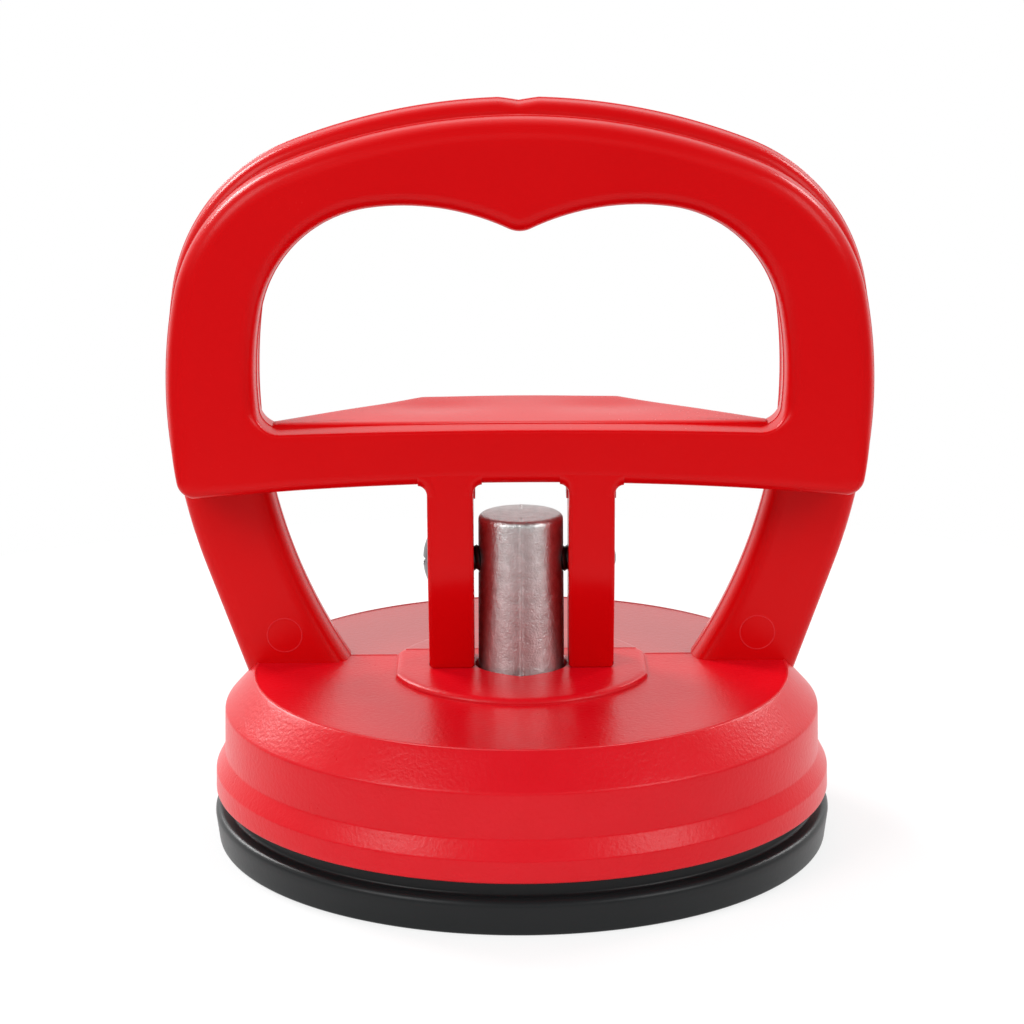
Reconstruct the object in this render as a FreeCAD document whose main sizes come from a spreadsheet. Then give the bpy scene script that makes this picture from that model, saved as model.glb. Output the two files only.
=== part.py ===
import FreeCAD, Part
import math
import os
import re

import Sketcher

# Lever-action suction lifter. Millimetres, +Z up, the origin under the middle of the rubber pad.
# The lever hinges on a cross screw in the lift post. At rest it stands upright against the fixed
# grip and its two cam feet hold the post, and with it the middle of the pad, up.

Vector = FreeCAD.Vector
doc = FreeCAD.newDocument("SuctionLifter")

# ---------------------------------------------------------------- sizes

drivingSizes = {
    # rubber pad
    "padRadius": 28.5,
    "padEdgeTaper": 0.4,
    "padRimHeight": 3.2,
    "padStepHeight": 1.5,
    "padStepInset": 1.5,
    "padSpigotHeight": 1.6,
    "padSpigotWidth": 1.7,
    "padSpigotClearance": 0.2,
    "padLipWidth": 6.0,
    "padWeb": 1.9,
    "hubFloor": 1.8,
    "hubWall": 1.6,
    # base housing
    "skirtInset": 0.2,
    "bandHeight": 2.0,
    "waistInset": 0.9,
    "flareHeight": 1.6,
    "wallHeight": 4.05,
    "shoulderInset": 2.8,
    "shoulderHeight": 2.95,
    "wallThickness": 2.2,
    "roofThickness": 2.4,
    "roofChamfer": 1.6,
    "bossRadius": 11.9,
    "bossFlat": 11.4,
    "bossHeight": 0.55,
    "bossBevel": 0.3,
    "guideClearance": 0.25,
    "guideWall": 1.8,
    "guideDepth": 3.9,
    "ribCount": 6,
    "ribThickness": 1.2,
    "ribDepth": 3.0,
    "ribGap": 0.8,
    "ribRoot": 0.6,
    # fixed grip, one moulding with the housing
    "gripFrontY": 1.6,
    "gripThickness": 5.0,
    "gripOverTop": 1.05,
    "gripOverSide": 0.4,
    "gripWidestHeight": 26.7,
    "gripTopRadius": 57.7,
    "gripShoulderRadius": 17.1,
    "gripSideRadius": 50.0,
    "gripLegRadius": 53.0,
    "gripLegBend": 17.7,
    "gripLegWidth": 8.4,
    "gripBeamHeight": 8.9,
    "gripInnerTopRadius": 58.0,
    "gripInnerShoulderRadius": 11.5,
    "gripInnerSideRadius": 49.0,
    "gripFootDepth": 0.4,
    "gripOuterRound": 1.1,
    "gripInnerRound": 1.8,
    "gripNotchHalfWidth": 1.8,
    "gripNotchDepth": 0.3,
    # lift post and its plate
    "postRadius": 4.0,
    "postTaper": 0.125,
    "postTopReach": 4.2,
    "postEdgeRound": 0.55,
    "tenonRadius": 2.5,
    "plateRadius": 9.0,
    "plateThickness": 1.2,
    "plateClearance": 0.1,
    # return spring
    "springWireRadius": 0.4,
    "springTurns": 4.0,
    "springClearance": 0.6,
    "springEndGap": 0.05,
    # pivot screw
    "screwRadius": 1.25,
    "screwHoleClearance": 0.05,
    "postHoleClearance": 0.1,
    "headRadius": 2.7,
    "headEdge": 0.9,
    "headDome": 0.8,
    "headSink": 1.2,
    "headClearance": 0.2,
    "screwTipReach": 0.25,
    "screwTipDome": 0.4,
    # squeeze lever; heights are above the pivot
    "camRate": 1.6,
    "camStep": 6.0,
    "openAngle": 90.0,
    "footReach": 9.75,
    "footClearance": 0.1,
    "leverThickness": 5.3,
    "leverGap": 0.5,
    "archTop": 40.55,
    "archHalfWidth": 31.8,
    "archWidest": 15.9,
    "archTopRadius": 56.5,
    "archShoulderRadius": 16.1,
    "archSideRadius": 44.5,
    "lobeTop": 32.76,
    "lobeOffset": 10.4,
    "lobeRadius": 22.0,
    "cuspRadius": 2.5,
    "windowHalfWidth": 23.57,
    "windowWidest": 17.4,
    "windowShoulderRadius": 10.4,
    "windowSideRadius": 31.4,
    "windowCornerRadius": 2.2,
    "barTop": 12.75,
    "barTopRadius": 700.0,
    "barBottom": 7.8,
    "barBottomRadius": 385.0,
    "leverCornerRadius": 2.2,
    "earSideClearance": 0.3,
    "earThickness": 4.15,
    "earDepth": 7.1,
    "earFilletRadius": 0.8,
    "earHeelRadius": 0.6,
    "leverEdgeRound": 0.9,
    "shelfStep": 0.15,
    "shelfRoot": 2.0,
    "shelfThickness": 1.9,
    "shelfReach": 10.3,
    "shelfRearCurve": 0.5,
    "shelfRootHalfWidth": 21.1,
    "shelfTipHalfWidth": 9.3,
    "shelfCornerRadius": 1.5,
}

derivedSizes = {
    # heights and radii of the base, from the pad up
    "skirtZ": "padRimHeight + padStepHeight",
    "skirtRadius": "padRadius - skirtInset",
    "bandZ": "skirtZ + bandHeight",
    "waistRadius": "skirtRadius - waistInset",
    "waistZ": "bandZ + flareHeight",
    "shoulderZ": "waistZ + wallHeight",
    "deckRadius": "waistRadius - shoulderInset",
    "deckZ": "shoulderZ + shoulderHeight",
    "bossZ": "deckZ + bossHeight",
    "roofZ": "deckZ - roofThickness",
    "cavityRadius": "waistRadius - wallThickness",
    "skirtInnerRadius": "skirtRadius - wallThickness",
    "cavityRoofRadius": "cavityRadius - roofChamfer",
    "cavityCornerZ": "roofZ - roofChamfer",
    "boreRadius": "postRadius + guideClearance",
    "guideRadius": "boreRadius + guideWall",
    "guideZ": "roofZ - guideDepth",
    # pad, plate and post
    "pivotZ": "bossZ + footClearance + footReach",
    "stroke": "camRate * openAngle * pi / 180",
    "pocketZ": "stroke + hubFloor",
    "plateZ": "pocketZ + plateClearance",
    "plateTopZ": "plateZ + plateThickness",
    "hubTopZ": "plateTopZ",
    "pocketRadius": "plateRadius + plateClearance",
    "hubRadius": "pocketRadius + hubWall",
    "lipRadius": "padRadius - padLipWidth",
    "domeMidRadius": "(hubRadius + lipRadius) / 2",
    "domeMidZ": "stroke / 2",
    "domeCurve": "((lipRadius - hubRadius) ^ 2 + stroke ^ 2) / (4 * stroke)",
    "webTopZ": "stroke + padWeb",
    "webMidZ": "domeMidZ + padWeb",
    "spigotRadius": "skirtInnerRadius - padSpigotClearance",
    "spigotInnerRadius": "spigotRadius - padSpigotWidth",
    "spigotZ": "skirtZ + padSpigotHeight",
    "padFootRadius": "padRadius - padEdgeTaper",
    "padStepRadius": "padRadius - padStepInset",
    "postTopRadius": "postRadius - postTaper",
    "postTopZ": "pivotZ + postTopReach",
    # spring and the ribs that clear it
    "springRadius": "guideRadius + springClearance + springWireRadius",
    "springZ": "plateTopZ + springWireRadius + springEndGap",
    "springHeight": "roofZ - springWireRadius - springEndGap - springZ",
    "springPitch": "springHeight / springTurns",
    "ribInnerRadius": "springRadius + springWireRadius + ribGap",
    "ribOuterRadius": "cavityRadius + ribRoot",
    "ribZ": "roofZ - ribDepth",
    "ribTopZ": "roofZ + ribRoot",
    # lever loop
    "leverRearY": "gripFrontY - leverGap",
    "leverFrontY": "leverRearY - leverThickness",
    "archTopZ": "pivotZ + archTop",
    "archWidestZ": "pivotZ + archWidest",
    "lobeTopZ": "pivotZ + lobeTop",
    "windowWidestZ": "pivotZ + windowWidest",
    "barTopZ": "pivotZ + barTop",
    "barBottomZ": "pivotZ + barBottom",
    # ears and shelf
    "earRearY": "leverFrontY + earDepth",
    "earTop": "barTop - shelfStep - shelfThickness / 2",
    "slotHalfWidth": "postRadius + earSideClearance",
    "earHalfWidth": "slotHalfWidth + earThickness",
    "shelfZ": "barTopZ - shelfStep - shelfThickness",
    "shelfFrontY": "leverRearY - shelfRoot",
    "shelfRearY": "leverRearY + shelfReach",
    "shelfBowRadius": "(shelfTipHalfWidth ^ 2 + shelfRearCurve ^ 2) / (2 * shelfRearCurve)",
    # fixed grip, which follows the lever's outline
    "gripTopZ": "archTopZ + gripOverTop",
    "gripHalfWidth": "archHalfWidth + gripOverSide",
    "gripWidestZ": "deckZ + gripWidestHeight",
    "gripInnerHalfWidth": "gripHalfWidth - gripLegWidth",
    "gripInnerTopZ": "gripTopZ - gripBeamHeight",
    "gripFootZ": "roofZ + gripFootDepth",
    "gripMidHalfWidth": "(gripHalfWidth + gripInnerHalfWidth) / 2",
    "gripMidTopZ": "(gripTopZ + gripInnerTopZ) / 2",
    "gripNotchZ": "gripTopZ - gripNotchDepth",
    "gripNotchTopZ": "gripTopZ + gripNotchDepth",
    # screw and its holes
    "screwHoleRadius": "screwRadius + screwHoleClearance",
    "postHoleRadius": "screwRadius + postHoleClearance",
    "headBoreRadius": "headRadius + headClearance",
    "headBaseX": "earHalfWidth - headSink",
    "headEdgeX": "headBaseX + headEdge",
    "headTopX": "headEdgeX + headDome",
    "headCurve": "(headRadius ^ 2 + headDome ^ 2) / (2 * headDome)",
    "screwTipX": "earHalfWidth + screwTipReach",
    "screwShankX": "screwTipX - screwTipDome",
    "tipCurve": "(screwRadius ^ 2 + screwTipDome ^ 2) / (2 * screwTipDome)",
}
sizeNames = {*drivingSizes, *derivedSizes}


def makeSheet():
    """Write the driving sizes as numbers and the derived ones as formulas, each with an alias."""
    sheet = doc.addObject("Spreadsheet::Sheet", "Sizes")
    row = 1
    for name, number in drivingSizes.items():
        sheet.set(f"A{row}", str(number))
        sheet.setAlias(f"A{row}", name)
        row += 1
    for name in derivedSizes:
        sheet.setAlias(f"A{row}", name)
        row += 1
    row = 1 + len(drivingSizes)
    for name, formula in derivedSizes.items():
        sheet.set(f"A{row}", "=" + formula)
        row += 1
    doc.recompute()
    return sheet


sheet = makeSheet()


def size(name):
    """The number that a sheet alias holds."""
    return float(sheet.get(name))


def formula(words):
    """Point the size names in a formula at the sheet."""
    def pointed(found):
        word = found[0]
        return "Sizes." + word if word in sizeNames else word
    return re.sub(r"[a-zA-Z]\w*", pointed, words)


def bind(target, prop, words):
    target.setExpression(prop, formula(words))


# ---------------------------------------------------------------- bodies and sketches

def newBody(name):
    body = doc.addObject("PartDesign::Body", name)
    body.Label = name
    return body


def newSketch(body, name, role, offset=None, rise=None):
    """A sketch on one of the body's origin planes, moved along the plane's normal or up in it."""
    sketch = body.newObject("Sketcher::SketchObject", name)
    plane = next(item for item in body.Origin.OriginFeatures if item.Role == role)
    sketch.AttachmentSupport = [(plane, "")]
    sketch.MapMode = "FlatFace"
    if offset:
        bind(sketch, "AttachmentOffset.Base.z", offset)
    if rise:
        bind(sketch, "AttachmentOffset.Base.y", rise)
    doc.recompute()
    return sketch


def number(word):
    """What a size name, a size name with a minus, or 0 stands for."""
    if word == "0":
        return 0.0
    if word.startswith("-"):
        return -size(word[1:])
    return size(word)


def place(corner):
    return Vector(number(corner[0]), number(corner[1]), 0)


def constrain(sketch, kind, *where):
    return sketch.addConstraint(Sketcher.Constraint(kind, *where))


def pin(sketch, edge, end, corner):
    """Hold an edge's end at its two sizes, or on an axis where one of them is 0."""
    for kind, axis, word in (("DistanceX", -2, corner[0]), ("DistanceY", -1, corner[1])):
        if word == "0":
            constrain(sketch, "PointOnObject", edge, end, axis)
            continue
        index = constrain(sketch, kind, -1, 1, edge, end, number(word))
        bind(sketch, f"Constraints[{index}]", word)


def minorArc(centre, radius, start, end):
    """The shorter arc from start to end, and which of its ends each of them is."""
    first = math.atan2(start.y - centre.y, start.x - centre.x)
    last = math.atan2(end.y - centre.y, end.x - centre.x)
    turn = math.remainder(last - first, 2 * math.pi)
    circle = Part.Circle(centre, Vector(0, 0, 1), radius)
    if turn > 0:
        return Part.ArcOfCircle(circle, first, first + turn), 1, 2
    return Part.ArcOfCircle(circle, last, last - turn), 2, 1


def drawLoop(sketch, edges):
    """Close a loop of edges. Each is (start, end) for a line, or (start, end, centre, radius name)."""
    ends = []
    for edge in edges:
        if len(edge) == 2:
            ends.append((sketch.addGeometry(Part.LineSegment(*edge), False), 1, 2))
            continue
        start, end, centre, radius = edge
        arc, head, tail = minorArc(centre, size(radius), start, end)
        index = sketch.addGeometry(arc, False)
        ends.append((index, head, tail))
    for here, after in zip(ends, ends[1:] + ends[:1]):
        constrain(sketch, "Coincident", here[0], here[2], after[0], after[1])
    for edge, found in zip(edges, ends):
        if len(edge) == 4:
            index = constrain(sketch, "Radius", found[0], size(edge[3]))
            bind(sketch, f"Constraints[{index}]", edge[3])
    return ends


def drawProfile(sketch, corners):
    """A closed outline whose corners are pairs of size names. A third name makes the edge that
    leaves a corner an arc of that radius, bulging to the left of the way along it, or to the right
    with a minus."""
    edges = []
    for corner, after in zip(corners, corners[1:] + corners[:1]):
        start = place(corner)
        end = place(after)
        if len(corner) == 2:
            edges.append((start, end))
            continue
        side = -1 if corner[2].startswith("-") else 1
        radius = corner[2].lstrip("-")
        chord = end - start
        rise = math.sqrt(size(radius) ** 2 - chord.Length ** 2 / 4)
        left = Vector(-chord.y, chord.x, 0).normalize()
        edges.append((start, end, (start + end) / 2 - left * side * rise, radius))
    ends = drawLoop(sketch, edges)
    for corner, found in zip(corners, ends):
        pin(sketch, found[0], found[1], corner)


def mirrored(edges):
    """The left half of a loop from its right half, in the order that goes on round it."""
    def across(point):
        return Vector(-point.x, point.y, 0)
    left = []
    for edge in reversed(edges):
        centre = [across(edge[2]), edge[3]] if len(edge) == 4 else []
        left.append((across(edge[1]), across(edge[0]), *centre))
    return left


def drawArch(sketch, top, right, bottom):
    """A symmetric loop: a top edge over the middle, the right half, a bottom edge and the left half.
    The top and bottom are (centre, radius name) for an arc, or None for a straight edge."""
    first = right[0][0]
    last = right[-1][1]
    firstLeft = Vector(-first.x, first.y, 0)
    lastLeft = Vector(-last.x, last.y, 0)
    over = (firstLeft, first, *top) if top else (firstLeft, first)
    under = (last, lastLeft, *bottom) if bottom else (last, lastLeft)
    drawLoop(sketch, [over, *right, under, *mirrored(right)])


def pad(body, sketch, name, length, back=False, middle=False):
    """Extrude a sketch along its normal, or back against it, or to both sides of it."""
    feature = body.newObject("PartDesign::Pad", name)
    feature.Profile = sketch
    bind(feature, "Length", length)
    feature.Reversed = back
    if middle:
        feature.SideType = "Symmetric"
    doc.recompute()
    return feature


def pocket(body, sketch, name, length=None, back=False, middle=False):
    """Cut a sketch along its normal, or back against it; without a length it cuts right through."""
    before = body.Shape.Volume
    feature = body.newObject("PartDesign::Pocket", name)
    feature.Profile = sketch
    feature.Reversed = back
    if middle:
        feature.SideType = "Symmetric"
    if length:
        bind(feature, "Length", length)
    else:
        feature.Type = "ThroughAll"
    doc.recompute()
    if body.Shape.Volume > before - 1e-3:
        raise ValueError(f"{name} cuts nothing")
    return feature


def revolve(body, sketch, name, axis="V_Axis"):
    feature = body.newObject("PartDesign::Revolution", name)
    feature.Profile = sketch
    feature.ReferenceAxis = (sketch, [axis])
    feature.Angle = 360
    doc.recompute()
    return feature


def dress(body, kind, name, chosen, words):
    """Fillet or chamfer the edges of the body that a test picks."""
    base = body.Tip
    names = [f"Edge{i + 1}" for i, edge in enumerate(base.Shape.Edges) if chosen(edge)]
    if not names:
        raise ValueError(f"{name} finds no edge")
    feature = body.newObject("PartDesign::" + kind, name)
    feature.Base = (base, names)
    bind(feature, "Radius" if kind == "Fillet" else "Size", words)
    doc.recompute()
    return feature


def roundCentre(first, firstRadius, second, secondRadius, radius):
    """The centre of a smaller arc that joins two arcs from inside, at their upper right meeting."""
    firstReach = firstRadius - radius
    secondReach = secondRadius - radius
    line = second - first
    along = (firstReach ** 2 - secondReach ** 2 + line.Length ** 2) / (2 * line.Length)
    across = math.sqrt(firstReach ** 2 - along ** 2)
    unit = line / line.Length
    side = Vector(-unit.y, unit.x, 0)
    return max((first + unit * along + side * across * sign for sign in (1, -1)), key=lambda c: c.x + c.y)


def toward(centre, point, radius):
    """The point at a distance from a centre, in the direction of another point."""
    line = point - centre
    return centre + line * (radius / line.Length)


def onCircle(centre, radius, height):
    """The right-hand point of a circle at a height."""
    return Vector(centre.x + math.sqrt(radius ** 2 - (height - centre.y) ** 2), height, 0)


# ---------------------------------------------------------------- base housing and fixed grip

def gripOutline():
    """The right half of the grip, from the crest down its outer side and up its inner side."""
    topCentre = Vector(0, size("gripTopZ") - size("gripTopRadius"), 0)
    sideCentre = Vector(size("gripHalfWidth") - size("gripSideRadius"), size("gripWidestZ"), 0)
    legCentre = Vector(size("gripHalfWidth") - size("gripLegRadius"), size("gripWidestZ"), 0)
    crest = roundCentre(topCentre, size("gripTopRadius"), sideCentre, size("gripSideRadius"),
                        size("gripShoulderRadius"))
    topEnd = toward(topCentre, crest, size("gripTopRadius"))
    sideStart = toward(sideCentre, crest, size("gripSideRadius"))
    widest = Vector(size("gripHalfWidth"), size("gripWidestZ"), 0)
    bend = onCircle(legCentre, size("gripLegRadius"), size("gripWidestZ") - size("gripLegBend"))
    slope = (bend.y - size("gripFootZ")) / (bend.x - legCentre.x)
    foot = Vector(bend.x + slope * (bend.y - legCentre.y), size("gripFootZ"), 0)

    innerTop = Vector(0, size("gripInnerTopZ") - size("gripInnerTopRadius"), 0)
    innerSide = Vector(size("gripInnerHalfWidth") - size("gripInnerSideRadius"), size("gripWidestZ"), 0)
    innerRound = roundCentre(innerTop, size("gripInnerTopRadius"), innerSide,
                             size("gripInnerSideRadius"), size("gripInnerShoulderRadius"))
    innerFoot = onCircle(innerSide, size("gripInnerSideRadius"), size("gripFootZ"))
    innerSideEnd = toward(innerSide, innerRound, size("gripInnerSideRadius"))
    innerTopEnd = toward(innerTop, innerRound, size("gripInnerTopRadius"))
    outer = [
        (topEnd, sideStart, crest, "gripShoulderRadius"),
        (sideStart, widest, sideCentre, "gripSideRadius"),
        (widest, bend, legCentre, "gripLegRadius"),
        (bend, foot),
    ]
    inner = [
        (foot, innerFoot),
        (innerFoot, innerSideEnd, innerSide, "gripInnerSideRadius"),
        (innerSideEnd, innerTopEnd, innerRound, "gripInnerShoulderRadius"),
    ]
    return outer, inner, topCentre, innerTop


def makeBase():
    body = newBody("base_housing")
    grip = newSketch(body, "GripSketch", "XZ_Plane", "-gripFrontY")
    outer, inner, topCentre, innerTop = gripOutline()
    drawArch(grip, (topCentre, "gripTopRadius"), outer + inner, (innerTop, "gripInnerTopRadius"))
    pad(body, grip, "Grip", "gripThickness", back=True)

    def onFaces(edge):
        box = edge.BoundBox
        flat = box.YLength < 1e-4
        return flat and box.ZMax > size("gripFootZ") + 1

    def outside(edge):
        middle = edge.valueAt((edge.FirstParameter + edge.LastParameter) / 2)
        reach = math.hypot(middle.x / size("gripMidHalfWidth"), (middle.z - size("gripWidestZ"))
                           / (size("gripMidTopZ") - size("gripWidestZ")))
        if middle.z < size("gripWidestZ"):
            return middle.x ** 2 > legMiddle(middle.z) ** 2
        return reach > 1

    def legMiddle(height):
        drop = size("gripWidestZ") - height
        inner = size("gripInnerHalfWidth") - drop ** 2 / (2 * size("gripInnerSideRadius"))
        outer = size("gripHalfWidth") - drop ** 2 / (2 * size("gripLegRadius"))
        return (inner + outer) / 2

    dress(body, "Fillet", "GripOuterRounds", lambda edge: onFaces(edge) and outside(edge), "gripOuterRound")
    dress(body, "Fillet", "GripInnerRounds", lambda edge: onFaces(edge) and not outside(edge)
          and edge.BoundBox.ZLength > 1, "gripInnerRound")

    notch = newSketch(body, "NotchSketch", "XZ_Plane", "-gripFrontY")
    drawProfile(notch, [("0", "gripNotchZ"), ("gripNotchHalfWidth", "gripTopZ"),
                        ("0", "gripNotchTopZ"), ("-gripNotchHalfWidth", "gripTopZ")])
    pocket(body, notch, "Notch", "gripThickness")

    shell = newSketch(body, "ShellSketch", "XZ_Plane")
    drawProfile(shell, [
        ("boreRadius", "guideZ"),
        ("guideRadius", "guideZ"),
        ("guideRadius", "roofZ"),
        ("cavityRoofRadius", "roofZ"),
        ("cavityRadius", "cavityCornerZ"),
        ("cavityRadius", "waistZ"),
        ("skirtInnerRadius", "bandZ"),
        ("skirtInnerRadius", "skirtZ"),
        ("skirtRadius", "skirtZ"),
        ("skirtRadius", "bandZ"),
        ("waistRadius", "waistZ"),
        ("waistRadius", "shoulderZ"),
        ("deckRadius", "deckZ"),
        ("boreRadius", "deckZ"),
    ])
    revolve(body, shell, "Shell")

    # Seat of the cam feet: a low round boss with two flat sides.
    boss = newSketch(body, "BossSketch", "XY_Plane", "deckZ")
    flat = math.sqrt(size("bossRadius") ** 2 - size("bossFlat") ** 2)
    corner = Vector(size("bossFlat"), flat, 0)
    below = Vector(size("bossFlat"), -flat, 0)
    middle = Vector(0, 0, 0)
    drawArch(boss, (middle, "bossRadius"), [(corner, below)], (middle, "bossRadius"))
    pad(body, boss, "Boss", "bossHeight")

    def bossRim(edge):
        box = edge.BoundBox
        return box.ZLength < 1e-4 and abs(box.ZMin - size("bossZ")) < 1e-4

    dress(body, "Chamfer", "BossBevel", bossRim, "bossBevel")
    bore = newSketch(body, "BoreSketch", "XY_Plane", "bossZ")
    drawCircle(bore, "0", "0", "boreRadius")
    pocket(body, bore, "Bore", "bossHeight + roofThickness")

    rib = newSketch(body, "RibSketch", "XZ_Plane")
    drawProfile(rib, [("ribInnerRadius", "ribZ"), ("ribOuterRadius", "ribZ"),
                      ("ribOuterRadius", "ribTopZ"), ("ribInnerRadius", "ribTopZ")])
    pad(body, rib, "Rib", "ribThickness", middle=True)
    pattern = body.newObject("PartDesign::PolarPattern", "Ribs")
    pattern.Originals = [doc.getObject("Rib")]
    pattern.Axis = (shell, ["V_Axis"])
    pattern.Angle = 360
    bind(pattern, "Occurrences", "ribCount")
    body.Tip = pattern
    doc.recompute()
    return body


def drawCircle(sketch, x, y, radius):
    centre = Vector(number(x), number(y), 0)
    index = sketch.addGeometry(Part.Circle(centre, Vector(0, 0, 1), size(radius)), False)
    pin(sketch, index, 3, (x, y))
    at = constrain(sketch, "Radius", index, size(radius))
    bind(sketch, f"Constraints[{at}]", radius)


# ---------------------------------------------------------------- rubber pad, plate, post, spring

def makePad():
    """The sealing lip, the step and spigot that locate it in the skirt, and the domed middle."""
    body = newBody("suction_pad")
    sketch = newSketch(body, "PadSketch", "XZ_Plane")
    drawProfile(sketch, [
        ("0", "stroke"),
        ("hubRadius", "stroke", "domeCurve"),
        ("domeMidRadius", "domeMidZ", "-domeCurve"),
        ("lipRadius", "0"),
        ("padFootRadius", "0"),
        ("padRadius", "padRimHeight"),
        ("padStepRadius", "padRimHeight"),
        ("padStepRadius", "skirtZ"),
        ("spigotRadius", "skirtZ"),
        ("spigotRadius", "spigotZ"),
        ("spigotInnerRadius", "spigotZ"),
        ("spigotInnerRadius", "padRimHeight"),
        ("lipRadius", "padWeb", "domeCurve"),
        ("domeMidRadius", "webMidZ", "-domeCurve"),
        ("hubRadius", "webTopZ"),
        ("hubRadius", "hubTopZ"),
        ("pocketRadius", "hubTopZ"),
        ("pocketRadius", "pocketZ"),
        ("0", "pocketZ"),
    ])
    revolve(body, sketch, "Rubber")
    return body


def makePlate():
    body = newBody("pad_plate")
    sketch = newSketch(body, "PlateSketch", "XZ_Plane")
    drawProfile(sketch, [("tenonRadius", "plateZ"), ("plateRadius", "plateZ"),
                         ("plateRadius", "plateTopZ"), ("tenonRadius", "plateTopZ")])
    revolve(body, sketch, "Plate")
    return body


def makePost():
    """A slightly tapered post with a rivet tenon below, a rounded top and a cross hole."""
    body = newBody("lift_post")
    sketch = newSketch(body, "PostSketch", "XZ_Plane")
    drawProfile(sketch, [("0", "plateZ"), ("tenonRadius", "plateZ"), ("tenonRadius", "plateTopZ"),
                         ("postRadius", "plateTopZ"), ("postTopRadius", "postTopZ"), ("0", "postTopZ")])
    revolve(body, sketch, "Post")

    def topRim(edge):
        return edge.BoundBox.ZLength < 1e-4 and abs(edge.BoundBox.ZMin - size("postTopZ")) < 1e-4

    dress(body, "Fillet", "PostRound", topRim, "postEdgeRound")
    hole = newSketch(body, "PostHoleSketch", "YZ_Plane")
    drawCircle(hole, "0", "pivotZ", "postHoleRadius")
    pocket(body, hole, "PostHole", middle=True)
    return body


def makeSpring():
    """Round wire wound between the plate and the roof, with a hair's breadth at each end.
    The helix is a chain of short tangent arcs."""
    radius = size("springRadius")
    rise = size("springPitch") / (2 * math.pi)

    def wound(turn):
        return Vector(radius * math.cos(turn), radius * math.sin(turn), rise * turn)

    step = math.pi / 2
    count = round(size("springTurns") * 4)
    arcs = [Part.Arc(wound(i * step), wound((i + 0.5) * step), wound((i + 1) * step)) for i in range(count)]
    path = Part.Wire([arc.toShape() for arc in arcs])
    section = Part.Circle(wound(0), Vector(0, radius, rise), size("springWireRadius"))
    spring = doc.addObject("Part::Feature", "return_spring")
    spring.Label = "return_spring"
    spring.Shape = path.makePipeShell([Part.Wire(section.toShape())], True, False)
    spring.Placement = FreeCAD.Placement(Vector(0, 0, size("springZ")), FreeCAD.Rotation())
    return spring


# ---------------------------------------------------------------- squeeze lever and its screw

def archOutline():
    """The right half of the lever's outer outline, from the crest down to the bar's underside."""
    topCentre = Vector(0, size("archTopZ") - size("archTopRadius"), 0)
    sideCentre = Vector(size("archHalfWidth") - size("archSideRadius"), size("archWidestZ"), 0)
    barCentre = Vector(0, size("barBottomZ") - size("barBottomRadius"), 0)
    shoulder = roundCentre(topCentre, size("archTopRadius"), sideCentre, size("archSideRadius"),
                           size("archShoulderRadius"))
    corner = cornerCentre(sideCentre, size("archSideRadius"), barCentre, size("barBottomRadius"),
                          size("leverCornerRadius"))
    topEnd = toward(topCentre, shoulder, size("archTopRadius"))
    sideStart = toward(sideCentre, shoulder, size("archSideRadius"))
    sideEnd = toward(sideCentre, corner, size("archSideRadius"))
    barEnd = toward(barCentre, corner, size("barBottomRadius"))
    right = [
        (topEnd, sideStart, shoulder, "archShoulderRadius"),
        (sideStart, sideEnd, sideCentre, "archSideRadius"),
        (sideEnd, barEnd, corner, "leverCornerRadius"),
    ]
    return right, topCentre, barCentre


def cornerCentre(side, sideRadius, bar, barRadius, radius):
    """The centre of the small round between the side, from inside it, and the bar's arc below it,
    from outside that arc."""
    return meeting(side, sideRadius - radius, bar, barRadius + radius)


def meeting(first, firstReach, second, secondReach):
    """The right-hand crossing of two circles."""
    line = second - first
    along = (firstReach ** 2 - secondReach ** 2 + line.Length ** 2) / (2 * line.Length)
    across = math.sqrt(firstReach ** 2 - along ** 2)
    unit = line / line.Length
    side = Vector(-unit.y, unit.x, 0)
    return max((first + unit * along + side * across * sign for sign in (1, -1)), key=lambda c: c.x)


def windowOutline():
    """The right half of the finger window, from the cusp over one lobe and down to the bar."""
    lobe = Vector(size("lobeOffset"), size("lobeTopZ") - size("lobeRadius"), 0)
    side = Vector(size("windowHalfWidth") - size("windowSideRadius"), size("windowWidestZ"), 0)
    bar = Vector(0, size("barTopZ") - size("barTopRadius"), 0)
    shoulder = roundCentre(lobe, size("lobeRadius"), side, size("windowSideRadius"),
                           size("windowShoulderRadius"))
    corner = cornerCentre(side, size("windowSideRadius"), bar, size("barTopRadius"),
                          size("windowCornerRadius"))
    reach = size("lobeRadius") + size("cuspRadius")
    cusp = Vector(0, lobe.y + math.sqrt(reach ** 2 - lobe.x ** 2), 0)
    lobeStart = toward(lobe, cusp, size("lobeRadius"))
    lobeEnd = toward(lobe, shoulder, size("lobeRadius"))
    sideStart = toward(side, shoulder, size("windowSideRadius"))
    sideEnd = toward(side, corner, size("windowSideRadius"))
    barEnd = toward(bar, corner, size("barTopRadius"))
    right = [
        (lobeStart, lobeEnd, lobe, "lobeRadius"),
        (lobeEnd, sideStart, shoulder, "windowShoulderRadius"),
        (sideStart, sideEnd, side, "windowSideRadius"),
        (sideEnd, barEnd, corner, "windowCornerRadius"),
    ]
    return right, cusp, bar


def camFoot():
    """The involute of the pivot's cam circle, from under the pivot to the lever's front face.
    It lowers the pivot by camRate for each radian that the lever turns."""
    points = []
    turn = 0.0
    while True:
        reach = size("footReach") - size("camRate") * turn
        along = size("camRate") * math.cos(turn) - reach * math.sin(turn)
        down = -size("camRate") * math.sin(turn) - reach * math.cos(turn)
        points.append(Vector(along, down, 0))
        if along < size("leverFrontY"):
            break
        turn += math.radians(size("camStep"))
    front = size("leverFrontY")
    last, beyond = points[-2:]
    share = (last.x - front) / (last.x - beyond.x)
    points[-1] = last + (beyond - last) * share
    curve = Part.BSplineCurve()
    curve.interpolate(points)
    return curve, points[0], points[-1]


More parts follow.
